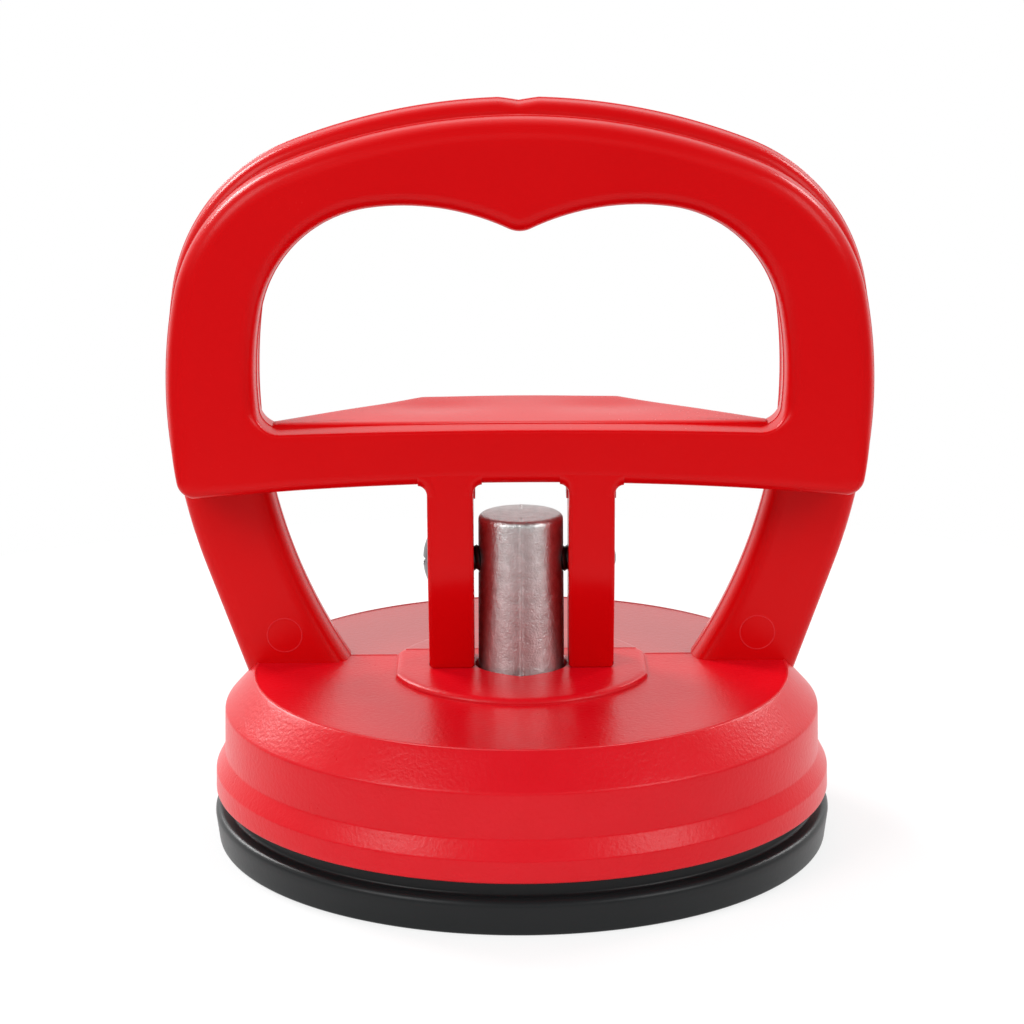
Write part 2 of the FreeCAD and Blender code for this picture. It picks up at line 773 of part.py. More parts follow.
def drawEar(sketch):
    """One ear from the side, about the pivot: cam foot, heel, rear edge and front face."""
    foot, under, front = camFoot()
    heel = Vector(size("earRearY"), under.y, 0)
    top = Vector(size("earRearY"), size("earTop"), 0)
    frontTop = Vector(front.x, size("earTop"), 0)
    curve = sketch.addGeometry(foot, False)
    lines = [(under, heel), (heel, top), (top, frontTop), (frontTop, front)]
    edges = [sketch.addGeometry(Part.LineSegment(*line), False) for line in lines]
    constrain(sketch, "Block", curve)
    constrain(sketch, "Coincident", curve, 1, edges[0], 1)
    for here, after in zip(edges, edges[1:]):
        constrain(sketch, "Coincident", here, 2, after, 1)
    constrain(sketch, "Coincident", edges[-1], 2, curve, 2)
    constrain(sketch, "Horizontal", edges[0])
    constrain(sketch, "Vertical", edges[1])
    constrain(sketch, "Horizontal", edges[2])
    pin(sketch, edges[1], 2, ("earRearY", "earTop"))


def makeLever():
    body = newBody("squeeze_lever")
    loop = newSketch(body, "LoopSketch", "XZ_Plane", "-leverRearY")
    right, topCentre, barCentre = archOutline()
    drawArch(loop, (topCentre, "archTopRadius"), right, (barCentre, "barBottomRadius"))
    window, cusp, bar = windowOutline()
    drawArch(loop, (cusp, "cuspRadius"), window, (bar, "barTopRadius"))
    pad(body, loop, "Loop", "leverThickness")

    def onFaces(edge):
        return edge.BoundBox.YLength < 1e-4

    dress(body, "Fillet", "LoopRounds", onFaces, "leverEdgeRound")

    ear = newSketch(body, "EarSketch", "YZ_Plane", rise="pivotZ")
    drawEar(ear)
    pad(body, ear, "Ears", "earHalfWidth * 2", middle=True)

    def heelEdge(edge):
        box = edge.BoundBox
        flat = box.YLength < 1e-4 and box.ZLength < 1e-4
        return flat and abs(box.YMin - size("earRearY")) < 1e-3 and box.ZMax < size("pivotZ")

    dress(body, "Fillet", "HeelRound", heelEdge, "earHeelRadius")

    slot = newSketch(body, "SlotSketch", "XZ_Plane")
    inner = Vector(size("slotHalfWidth"), size("barBottomZ") - size("earFilletRadius"), 0)
    centre = Vector(inner.x - size("earFilletRadius"), inner.y, 0)
    crown = Vector(centre.x, size("barBottomZ"), 0)
    foot = Vector(inner.x, size("deckZ"), 0)
    drawArch(slot, None, [(crown, inner, centre, "earFilletRadius"), (inner, foot)], None)
    pocket(body, slot, "Slot", middle=True)

    shelf = newSketch(body, "ShelfSketch", "XY_Plane", "shelfZ")
    drawShelf(shelf)
    pad(body, shelf, "Shelf", "shelfThickness")

    hole = newSketch(body, "PivotHoleSketch", "YZ_Plane")
    drawCircle(hole, "0", "pivotZ", "screwHoleRadius")
    pocket(body, hole, "PivotHole", middle=True)
    seat = newSketch(body, "HeadSeatSketch", "YZ_Plane", "-earHalfWidth")
    drawCircle(seat, "0", "pivotZ", "headBoreRadius")
    pocket(body, seat, "HeadSeat", "headSink", back=True)
    return body


def drawShelf(sketch):
    """The thumb shelf's plan: slanted sides, two round corners and a slightly bowed rear edge."""
    front = size("shelfFrontY")
    root = Vector(size("shelfRootHalfWidth"), size("leverRearY"), 0)
    tip = Vector(size("shelfTipHalfWidth"), size("shelfRearY") - size("shelfRearCurve"), 0)
    radius = size("shelfCornerRadius")
    half = size("shelfTipHalfWidth")
    bow = (half ** 2 + size("shelfRearCurve") ** 2) / (2 * size("shelfRearCurve"))
    sheetBow = Vector(0, size("shelfRearY") - bow, 0)
    slant = tip - root
    unit = slant / slant.Length
    inward = Vector(-unit.y, unit.x, 0)
    # The corner's centre lies at its radius from the slanted side and inside the bowed rear edge.
    base = root + inward * radius - sheetBow
    along = -base.dot(unit) + math.sqrt(base.dot(unit) ** 2 - base.Length ** 2 + (bow - radius) ** 2)
    centre = root + inward * radius + unit * along
    sideEnd = centre - inward * radius
    rearEnd = toward(sheetBow, centre, bow)
    inside = Vector(root.x, front, 0)
    drawArch(sketch, (sheetBow, "shelfBowRadius"), [
        (rearEnd, sideEnd, centre, "shelfCornerRadius"),
        (sideEnd, root),
        (root, inside),
    ], None)


def makeScrew():
    """A pan head sunk in the left ear, a plain shank and a domed tip past the right ear."""
    body = newBody("pivot_screw")
    sketch = newSketch(body, "ScrewSketch", "XZ_Plane", rise="pivotZ")
    drawProfile(sketch, [
        ("-headBaseX", "screwRadius"),
        ("-headBaseX", "headRadius"),
        ("-headEdgeX", "headRadius", "-headCurve"),
        ("-headTopX", "0"),
        ("screwTipX", "0", "-tipCurve"),
        ("screwShankX", "screwRadius"),
    ])
    revolve(body, sketch, "Screw", "H_Axis")
    return body


# ---------------------------------------------------------------- build and write

subparts = [makeBase(), makePad(), makePlate(), makePost(), makeSpring(), makeLever(), makeScrew()]
doc.recompute()
failed = [item.Name for item in doc.Objects if {"Invalid", "Error"} & set(item.State)]
if failed:
    raise RuntimeError(f"failed objects: {failed}")
os.makedirs("parts", exist_ok=True)
for subpart in subparts:
    shape = subpart.Shape
    if shape.isNull() or not shape.isValid() or len(shape.Solids) != 1:
        raise RuntimeError(f"{subpart.Label} is not one valid solid")
    shape.exportStep(f"parts/{subpart.Label}.step")
    box = shape.BoundBox
    print(f"{subpart.Label}: {shape.Volume:.1f} mm3, x {box.XMin:.2f} {box.XMax:.2f},"
          f" y {box.YMin:.2f} {box.YMax:.2f}, z {box.ZMin:.2f} {box.ZMax:.2f}")
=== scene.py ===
import bmesh
import bpy
import numpy as np
from mathutils import Matrix, Vector


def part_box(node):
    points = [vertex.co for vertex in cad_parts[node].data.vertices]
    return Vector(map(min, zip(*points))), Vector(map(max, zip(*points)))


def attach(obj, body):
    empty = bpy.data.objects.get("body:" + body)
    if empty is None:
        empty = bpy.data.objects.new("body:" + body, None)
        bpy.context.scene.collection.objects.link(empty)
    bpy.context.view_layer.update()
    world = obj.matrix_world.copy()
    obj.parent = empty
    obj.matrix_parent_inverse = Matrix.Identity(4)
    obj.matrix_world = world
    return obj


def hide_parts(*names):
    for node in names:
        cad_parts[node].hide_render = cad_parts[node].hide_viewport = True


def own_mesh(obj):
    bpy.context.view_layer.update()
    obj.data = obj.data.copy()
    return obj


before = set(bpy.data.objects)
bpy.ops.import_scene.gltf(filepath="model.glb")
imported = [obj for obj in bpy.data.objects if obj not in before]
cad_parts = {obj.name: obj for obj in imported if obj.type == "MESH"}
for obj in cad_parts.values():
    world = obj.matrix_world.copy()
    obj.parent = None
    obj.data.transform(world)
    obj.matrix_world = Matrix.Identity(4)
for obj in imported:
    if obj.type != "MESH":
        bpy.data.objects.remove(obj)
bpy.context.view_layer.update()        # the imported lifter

mm = 0.001
print("frame loaded")

# places, in mm, from the frame


def nodeBox(node):
    low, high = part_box(node)
    return np.array(low) / mm, np.array(high) / mm


padHigh = nodeBox("suction_pad")[1]
housingLow, housingHigh = nodeBox("base_housing")
leverLow, leverHigh = nodeBox("squeeze_lever")
postHigh = nodeBox("lift_post")[1]
plateLow, plateHigh = nodeBox("pad_plate")
springLow, springHigh = nodeBox("return_spring")
screwLow, screwHigh = nodeBox("pivot_screw")
pivotZ = (screwLow[2] + screwHigh[2]) / 2

base = {
    "skirtZ": housingLow[2],          # the skirt's lower edge on the pad's step
    "skirtRadius": 28.3,
    "bandHeight": 2.0,
    "waistRadius": 27.4,
    "flareHeight": 1.6,
    "wallHeight": 4.05,
    "deckRadius": 24.6,
    "shoulderHeight": 2.95,
    "wall": 2.2,
    "roof": 2.4,
    "bore": 4.25,
    "guideRadius": 6.05,
    "guideDepth": 3.9,
    "bossRadius": 12.0,
    "bossFlat": 11.5,
    "bossHeight": 0.55,
    "bossBevel": (0.75, 0.44),        # across, up
    "bossRoot": 0.3,                  # how far the boss reaches down into the deck
    "partingY": 4.1,
    "boreNotch": 0.5,
    "boreNotchHalfAngle": 24.0,
    "boreBevel": 0.15,
    "roofChamfer": 1.6,
    "bandDraft": 0.05,
    "wallDraft": 0.1,
    "deckBead": (0.07, 0.05),         # half width, height of each moulded line
    "bossBead": (0.06, 0.04),
    "rimBead": (0.12, 0.09),
    "rimBeadSink": 0.02,
    "beadGap": 0.1,
}
deckZ = sum(base[part] for part in ("skirtZ", "bandHeight", "flareHeight", "wallHeight", "shoulderHeight"))

grip = {
    "front": 1.6,
    "rear": 6.6,
    "top": housingHigh[2],
    "topRadius": 57.7,
    "shoulderRadius": 17.1,
    "halfWidth": housingHigh[0],
    "widestZ": 42.0,
    "sideRadius": 50.0,
    "legRadius": 53.0,
    "legBend": 17.7,
    "innerHalfWidth": 23.8,
    "innerTop": 59.0,
    "innerTopRadius": 130.0,
    "innerShoulderRadius": 7.0,
    "innerSideRadius": 49.0,
    "outerRound": 1.3,
    "innerRound": 1.7,
    "rearRound": 0.7,                 # the rear rounds as a share of the front ones
    "innerCrease": 20.0,
    "draft": 0.045,
    "seam": 0.05,
    "ejectorX": 21.9,
    "ejectorZ": 18.0,
    "ejectorRadius": 1.6,
    "ejectorBead": (0.05, 0.03),
    "notchHalfWidth": 1.8,
    "notchDepth": 0.3,
    "footLift": 0.4,                  # the legs' ends over the roof's underside
    "levelScale": 10.0,               # mm of leg to a radian of arch, for an even grid
}

lever = {
    "front": leverLow[1],
    "rear": 1.1,
    "parting": -1.6,
    "top": leverHigh[2],
    "topRadius": 56.5,
    "shoulderRadius": 16.1,
    "halfWidth": leverHigh[0],
    "widestZ": 41.6,
    "sideRadius": 44.5,
    "barBottom": pivotZ + 7.7,
    "barBottomRadius": 320.0,
    "cornerRadius": 1.9,
    "lobeTop": pivotZ + 32.62,
    "lobeOffset": 10.4,
    "lobeRadius": 22.0,
    "cuspRadius": 2.5,
    "windowHalfWidth": 23.57,
    "windowWidestZ": pivotZ + 17.4,
    "windowShoulderRadius": 11.3,
    "windowSideRadius": 31.4,
    "barTop": pivotZ + 12.95,
    "barTopRadius": 700.0,
    "edgeRound": 1.8,
    "bottomRound": 0.9,
    "windowRound": 1.4,
    "barEdgeRound": 0.3,
    "rearRound": 0.4,
    "draft": 0.04,
    "seam": 0.06,
    "middleZ": 47.5,
    "bottomBlend": (0.4, 6.0),        # where the edge rounds change: start, height
    "windowBlend": (2.0, 2.2),
}

ear = {
    "inner": 4.3,
    "outer": 8.45,
    "rear": 2.9,
    "edgeRound": 0.45,
    "join": 0.8,
    "step": (0.18, 1.75),
    "stepLap": (0.3, 0.2, 0.05),      # into the bar, short of its rear, edge round
    "setback": 0.004,
    "footGap": 0.02,
    "nose": (2.0, 1.4, 14.0),         # back, below the pivot, round
    "toeRound": 0.08,
    "heelRound": 0.5,
    "joinSetback": 0.002,
    "joinDepth": 1.7,
    "joinCrown": 0.02,
    "joinShort": 0.1,
    "screwHole": 1.3,
    "headHole": 2.9,
    "headSeatX": 7.25,
    "holeReach": (2.0, 12.0),
    "rootDrop": 1.0,                  # the ears' upper ends, under the shelf's top
}

shelf = {
    "step": -0.03,
    "sink": 0.22,
    "sinkPlace": (8.0, 6.2),
    "sinkReach": (4.6, 2.9),
    "dip": 0.14,
    "dipReach": (1.0, 0.9),
    "inside": 0.3,
    "rearRadius": 60.0,
    "rims": (0.6, 0.5),               # upper, lower
    "faceDepth": 0.5,                 # what is nearer to the top than this belongs to the face
    "thickness": 1.9,
    "root": (22.5, -0.06),
    "tip": (9.3, 10.9),
    "rear": 11.4,
    "corner": 1.5,
}

meshing = {"merge": 2e-7, "sliver": 1e-7, "sharp": 32.0}

# meshes


def gridFaces(rows, columns, closedRows, closedColumns):
    # quads between neighbours i, i+1 and j, j+1 of a rows x columns grid, wrapped where it is closed
    i, j = np.meshgrid(np.arange(rows if closedRows else rows - 1),
                       np.arange(columns if closedColumns else columns - 1), indexing="ij")
    i, j = i.ravel(), j.ravel()
    nextI, nextJ = (i + 1) % rows, (j + 1) % columns
    return np.stack([i * columns + j, nextI * columns + j, nextI * columns + nextJ, i * columns + nextJ], 1)


def meshData(name, shells):
    # shells are (points, faces, caps): a grid's points in mm, its quads and the loops of any flat ends
    verts, faces, start = [], [], 0
    for points, quads, caps in shells:
        verts.append(points.reshape(-1, 3))
        faces += (quads + start).tolist()
        faces += [(np.asarray(cap) + start).tolist() for cap in caps]
        start += len(verts[-1])
    mesh = bpy.data.meshes.new(name)
    mesh.from_pydata((np.concatenate(verts) * mm).tolist(), [], faces)
    work = bmesh.new()
    work.from_mesh(mesh)
    bmesh.ops.remove_doubles(work, verts=work.verts, dist=meshing["merge"])
    bmesh.ops.dissolve_degenerate(work, edges=work.edges, dist=meshing["sliver"])
    bmesh.ops.recalc_face_normals(work, faces=work.faces)
    work.to_mesh(mesh)
    work.free()
    return mesh


def markEdges(mesh):
    # how far each point stands out, as the attribute "edge": the angle between its normal and the
    # mean unit vector to its neighbours, over pi, so 0.5 where flat, then averaged with theirs
    count = len(mesh.vertices)
    place, normal = np.empty(count * 3), np.empty(count * 3)
    ends = np.empty(len(mesh.edges) * 2, int)
    mesh.vertices.foreach_get("co", place)
    mesh.vertices.foreach_get("normal", normal)
    mesh.edges.foreach_get("vertices", ends)
    first, second = ends.reshape(-1, 2).T
    along = place.reshape(-1, 3)[second] - place.reshape(-1, 3)[first]
    along /= np.maximum(np.linalg.norm(along, axis=1), 1e-12)[:, None]
    number = np.bincount(ends, minlength=count)
    outward = sum((np.bincount(first, along[:, k], count) - np.bincount(second, along[:, k], count))
                  * normal[k::3] for k in range(3))
    angle = np.arccos(np.clip(outward / np.maximum(number, 1), -1, 1)) / np.pi
    around = np.bincount(first, angle[second], count) + np.bincount(second, angle[first], count)
    edge = mesh.attributes.new("edge", "FLOAT", "POINT")
    edge.data.foreach_set("value", (angle + around) / (number + 1))


def inScene(name, data):
    thing = bpy.data.objects.new(name, data)
    bpy.context.scene.collection.objects.link(thing)
    return thing


def addPiece(name, shells, material, body, nodes=(), sharp=meshing["sharp"]):
    mesh = meshData(name, shells)
    markEdges(mesh)
    mesh.shade_smooth()
    mesh.set_sharp_from_angle(angle=np.radians(sharp))
    mesh.materials.append(finishes[material])
    piece = inScene(name, mesh)
    if nodes:
        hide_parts(*nodes)
    if body:
        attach(piece, body)
    return piece


def closedGrid(points):
    # a surface that closes both ways, like a ring
    return points, gridFaces(points.shape[0], points.shape[1], True, True), []


def poleGrid(points):
    # a turned surface whose profile starts and ends on the axis
    return points, gridFaces(points.shape[0], points.shape[1], True, False), []


def tubeGrid(points):
    # a surface that closes round its columns, with a flat end at each end of its rows
    rows, columns = points.shape[:2]
    ends = [np.arange(columns)[::-1], (rows - 1) * columns + np.arange(columns)]
    return points, gridFaces(rows, columns, False, True), ends


def roundAngles(count):
    return np.linspace(0, 2 * np.pi, count, endpoint=False)


def swept(radius, angle, height):
    # x = r cos a, y = r sin a, z = h
    return np.stack([radius * np.cos(angle), radius * np.sin(angle), height + 0 * radius * angle], -1)


def turned(profile, count):
    # a profile (r, z) turned about Z
    return swept(profile[None, :, 0], roundAngles(count)[:, None], profile[None, :, 1])


def rounded(corners, steps=6):
    # a polygon (r, z, round) with each corner cut by a tangent arc of its own radius
    path = np.array([corner[:2] for corner in corners], float)
    radii = [corner[2] for corner in corners]
    out = []
    for k, radius in enumerate(radii):
        here, before, after = path[k], path[k - 1], path[(k + 1) % len(path)]
        if radius <= 0:
            out.append(here[None])
            continue
        a, b = before - here, after - here
        a, b = a / np.linalg.norm(a), b / np.linalg.norm(b)
        half = np.arccos(np.clip(a @ b, -1, 1)) / 2
        middle = (a + b) / np.linalg.norm(a + b)
        centre = here + middle * radius / np.sin(half)
        first = np.arctan2(*(here + a * radius / np.tan(half) - centre)[::-1])
        last = np.arctan2(*(here + b * radius / np.tan(half) - centre)[::-1])
        sweep = (last - first + np.pi) % (2 * np.pi) - np.pi
        angle = first + sweep * np.linspace(0, 1, steps)
        out.append(centre + radius * np.stack([np.cos(angle), np.sin(angle)], 1))
    return np.concatenate(out)


def subdivided(loop, longest):
    # a closed loop with its long edges divided evenly, so that shading stays put beside its rounds
    out = []
    for start, end in zip(loop, np.roll(loop, -1, 0)):
        count = max(1, int(np.ceil(np.linalg.norm(end - start) / longest)))
        out.append(start + (end - start) * np.arange(count)[:, None] / count)
    return np.concatenate(out)


# outlines, as complex numbers x + iz


def meet(first, firstReach, second, secondReach, pick):
    # the crossing of two circles for which pick is largest
    line = second - first
    along = (firstReach ** 2 - secondReach ** 2 + abs(line) ** 2) / (2 * abs(line))
    across = np.sqrt(firstReach ** 2 - along ** 2)
    unit = line / abs(line)
    return max((first + unit * (along + sign * 1j * across) for sign in (1, -1)), key=pick)


def toward(centre, point, radius):
    return centre + (point - centre) / abs(point - centre) * radius


def crown(height, radius):
    # circles are (centre, radius): this one by its top, the next by its right side
    return 1j * (height - radius), radius


def flank(halfWidth, radius, height):
    return halfWidth - radius + 1j * height, radius


def farOut(centre):
    return centre.real


def farUp(centre):
    return centre.real + centre.imag


def touching(radius, first, second, pick, side=-1):
    # the circle of this radius that touches two others, from inside the first and from inside (-1)
    # or outside (1) the second
    return meet(first[0], first[1] - radius, second[0], second[1] + side * radius, pick), radius


def chain(start, circles, end):
    # the arcs from start to end over circles that touch each other in turn
    points = [start]
    for pair in zip(circles, circles[1:]):
        small, large = sorted(pair, key=lambda circle: circle[1])
        points.append(toward(large[0], small[0], large[1]))
    points.append(end)
    return [(circle[0], *ends) for circle, *ends in zip(circles, points, points[1:])]


def arcPoints(centre, start, end, finest=4.0, longest=1.0):
    # the shorter arc about centre, its steps no more than so many degrees or mm
    radius = abs(start - centre)
    turn = np.angle((end - centre) / (start - centre))
    step = min(np.radians(finest), longest / radius)
    count = max(2, int(np.ceil(abs(turn) / step)) + 1)
    return centre + (start - centre) * np.exp(1j * turn * np.linspace(0, 1, count))


def outlineOf(pieces, step=0.02):
    # a fine line through arcs and points, evenly spaced, with the unit normals to its right
    path = np.concatenate([arcPoints(*piece, finest=0.5, longest=0.1) if isinstance(piece, tuple)
                           else np.array([piece]) for piece in pieces])
    path = path[np.r_[True, abs(np.diff(path)) > 1e-9]]
    run = np.r_[0, np.cumsum(abs(np.diff(path)))]
    even = np.linspace(0, run[-1], int(run[-1] / step))
    path = np.interp(even, run, path.real) + 1j * np.interp(even, run, path.imag)
    along = np.gradient(path)
    return path, -1j * along / abs(along)


def mirrorPieces(pieces):
    out = []
    for piece in reversed(pieces):
        if isinstance(piece, tuple):
            centre, start, end = piece
            out.append((-centre.conjugate(), -end.conjugate(), -start.conjugate()))
        else:
            out.append(-piece.conjugate())
    return out


def leverOutlines():
    top = crown(lever["top"], lever["topRadius"])
    side = flank(lever["halfWidth"], lever["sideRadius"], lever["widestZ"])
    bar = crown(lever["barBottom"], lever["barBottomRadius"])
    shoulder = touching(lever["shoulderRadius"], top, side, farUp)
    corner = touching(lever["cornerRadius"], side, bar, farOut, 1)
    outer = chain(1j * lever["top"], [top, shoulder, side, corner, bar], 1j * lever["barBottom"])

    lobe = lever["lobeOffset"] + 1j * (lever["lobeTop"] - lever["lobeRadius"]), lever["lobeRadius"]
    wall = flank(lever["windowHalfWidth"], lever["windowSideRadius"], lever["windowWidestZ"])
    sill = crown(lever["barTop"], lever["barTopRadius"])
    turn = touching(lever["windowShoulderRadius"], lobe, wall, farUp)
    heel = touching(lever["cornerRadius"], wall, sill, farOut, 1)
    reach = lever["lobeRadius"] + lever["cuspRadius"]
    cusp = 1j * (lobe[0].imag + np.sqrt(reach ** 2 - lobe[0].real ** 2))
    inner = chain(cusp - 1j * lever["cuspRadius"],
                  [(cusp, lever["cuspRadius"]), lobe, turn, wall, heel, sill], 1j * lever["barTop"])
    return outer + mirrorPieces(outer), inner + mirrorPieces(inner)


def byAngle(pieces, middle, angles):
    # the outline's points, and the normals to its right, on rays from a middle at the given angles
    path, normal = outlineOf(pieces)
    angle = np.unwrap(np.angle(path - middle))
    order = np.argsort(angle)
    path, normal, angle = path[order], normal[order], angle[order]
    wrapped = angle[0] + (angles - angle[0]) % (2 * np.pi)
    point = np.interp(wrapped, angle, path.real) + 1j * np.interp(wrapped, angle, path.imag)
    normal = np.interp(wrapped, angle, normal.real) + 1j * np.interp(wrapped, angle, normal.imag)
    return point, normal / abs(normal)


def rayAngles(outlines, middle, closest=0.12):
    # the angles at which the outlines' own steps lie, merged and thinned to so many degrees
    angles = np.concatenate([np.angle(np.concatenate([arcPoints(*piece) for piece in outline]) - middle)
                             for outline in outlines])
    angles = np.sort(angles)
    keep = np.r_[True, np.diff(angles) > np.radians(closest)]
    return angles[keep]


def smooth(value):
    value = np.clip(value, 0, 1)
    return value * value * (3 - 2 * value)


def eased(low, high, share):
    return low + (high - low) * smooth(share)


def barSection(front, rear, parting, draft, seam, rearRound, crease=0.0, lap=0.03,
               roundSteps=6, faceSteps=10):
    # rows round a flat bar's section, from the outer line over the front to the inner line and back
    # over the rear: share s across, the inset as a count of the edge round and in mm, y, y's count
    sides = np.linspace(0.0, 1.0, 4)
    across = np.linspace(0, 1, faceSteps)[1:-1]
    loops = []
    for face, back, step, share in ((front, 1.0, seam, 1.0), (rear, -1.0, 0.0, rearRound)):
        slope = draft * abs(face - parting)
        near = parting - back * lap
        last = np.pi / 2 - np.radians(crease)
        halves = []
        for s, end in ((0.0, np.pi / 2), (1.0, last)):
            side = np.stack([s + 0 * sides, 0 * sides, step + slope * sides,
                             near + (face - near) * sides, back * share * np.sin(end) * sides], 1)
            bend = np.linspace(0, end, roundSteps)[1:]
            turn = np.stack([s + 0 * bend, share * (1 - np.cos(bend)), step + slope + 0 * bend,
                             face + 0 * bend, back * share * (np.sin(end) - np.sin(bend))], 1)
            halves.append(np.concatenate([side, turn]))
        flat = np.stack([across, share * (1 - across * np.cos(last)), step + slope + 0 * across,
                         face + 0 * across, 0 * across], 1)
        loop = np.concatenate([halves[0], flat, halves[1][::-1]])
        loops.append(loop if back > 0 else loop[::-1])
    return np.concatenate(loops)


def barSurface(outer, outerIn, inner, innerIn, outerRound, innerRound, rows):
    # P = (1 - s)(O + nO (f rO + d)) + s (I + nI (f rI + d)), y = y0 + g r, over the outlines and rows
    s, f, d, y0, g = rows.T
    across = (1 - s) * (outer[:, None] + outerIn[:, None] * (f * outerRound[:, None] + d))
    across = across + s * (inner[:, None] + innerIn[:, None] * (f * innerRound[:, None] + d))
    radius = np.where(s < 0.5, outerRound[:, None], innerRound[:, None])
    return np.stack([across.real, y0 + g * radius, across.imag], -1)


def slab(loop, low, high, rim, lowRim=None, steps=6):
    # a plane loop carried from low to high, its two rims rounded: rows of (u, v, w)
    along = np.roll(loop, -1, 0) - np.roll(loop, 1, 0)
    unit = along / np.linalg.norm(along, axis=1)[:, None]
    area = np.sum(loop[:, 0] * np.roll(loop[:, 1], -1) - np.roll(loop[:, 0], -1) * loop[:, 1])
    inward = np.stack([-unit[:, 1], unit[:, 0]], 1) * np.sign(area)
    lowRim = rim if lowRim is None else lowRim
    quarter = np.linspace(0, np.pi / 2, steps)
    inset = np.r_[lowRim * (1 - np.sin(quarter)), rim * (1 - np.sin(quarter[::-1]))]
    height = np.r_[low + lowRim * (1 - np.cos(quarter)), high - rim * (1 - np.cos(quarter[::-1]))]
    flat = loop[None] + inward[None] * inset[:, None, None]
    return np.concatenate([flat, np.broadcast_to(height[:, None, None], (*flat.shape[:2], 1))], 2)


def ringed(rows, steps=14):
    # adds rows that shrink the last one to its middle, so that its face can be given a shape
    share = np.linspace(1, 0, steps)[1:-1, None, None]
    last = rows[-1][None]
    middle = last.mean(1, keepdims=True)
    return np.concatenate([rows, middle + share * (last - middle)])


print("outlines ready")

# finishes


def feed(tree, node, settings):
    # a key is the name or number of a socket, or else a property; an output given to a socket is linked
    for key, value in settings.items():
        if isinstance(key, str) and key not in node.inputs:
            setattr(node, key, value)
        elif isinstance(value, bpy.types.NodeSocket):
            tree.links.new(value, node.inputs[key])
        else:
            node.inputs[key].default_value = value


def placed(tree, kind, *numbered, **settings):
    node = tree.nodes.new("ShaderNode" + kind)
    feed(tree, node, settings)
    feed(tree, node, dict(enumerate(numbered)))
    return node


def reckoned(tree, operation, *values):
    return placed(tree, "Math", *values, operation=operation).outputs["Value"]


def ranged(tree, value, low, high, start=0.0, end=1.0, kind="LINEAR"):
    # goes from low to high while the value goes from start to end
    return placed(tree, "MapRange", value, start, end, low, high, interpolation_type=kind).outputs["Result"]


def mixed(tree, factor, a, b):
    # goes from a to b with the factor; a colour is given as three numbers
    kind = "RGBA" if isinstance(b, tuple) else "FLOAT"
    a, b = [(*value, 1) if isinstance(value, tuple) else value for value in (a, b)]
    return placed(tree, "Mix", data_type=kind, Factor=factor, A=a, B=b).outputs["Result"]


def groupOf(name, numbers, results):
    # a node group that takes a place and some numbers
    group = bpy.data.node_groups.new(name, "ShaderNodeTree")
    add = group.interface.new_socket
    add("Vector", in_out="INPUT", socket_type="NodeSocketVector")
    for label, value in numbers.items():
        add(label, in_out="INPUT", socket_type="NodeSocketFloat").default_value = value
    for label in results:
        add(label, in_out="OUTPUT", socket_type="NodeSocketFloat")
    return group, group.nodes.new("NodeGroupInput").outputs, group.nodes.new("NodeGroupOutput")


def mouldGrain():
    # a soft unevenness and a fine grain: their height, and the soft one as a mask
    group, given, sink = groupOf("mouldGrain", {"Broad": 120.0, "Fine": 2500.0, "Fine Share": 0.25},
                                 ["Height", "Mask"])
    place = given["Vector"]
    broad = placed(group, "TexNoise", Vector=place, Scale=given["Broad"], Detail=2.0, Roughness=0.45)
    fine = placed(group, "TexNoise", Vector=place, Scale=given["Fine"], Detail=3.0, Roughness=0.6)
    soft = broad.outputs["Fac"]
    height = mixed(group, given["Fine Share"], soft, fine.outputs["Fac"])
    feed(group, sink, {"Height": height, "Mask": soft})
    return group


def edgeWearAndHighlight():
    # how worn a raised edge is, and how much painted highlight it takes: its attribute past a limit, broken
    # up by noise
    group, given, sink = groupOf("edgeWearAndHighlight", {"Start": 0.54, "End": 0.62, "Break Up": 600.0}, ["Mask"])
    raised = placed(group, "Attribute", attribute_name="edge").outputs["Fac"]
    noise = placed(group, "TexNoise", Vector=given["Vector"], Scale=given["Break Up"], Detail=4.0)
    past = ranged(group, raised, 0.0, 1.0, given["Start"], given["End"])
    feed(group, sink, {"Mask": reckoned(group, "MULTIPLY", past, noise.outputs["Fac"])})
    return group


grainGroup = mouldGrain()
wearHighlightGroup = edgeWearAndHighlight()


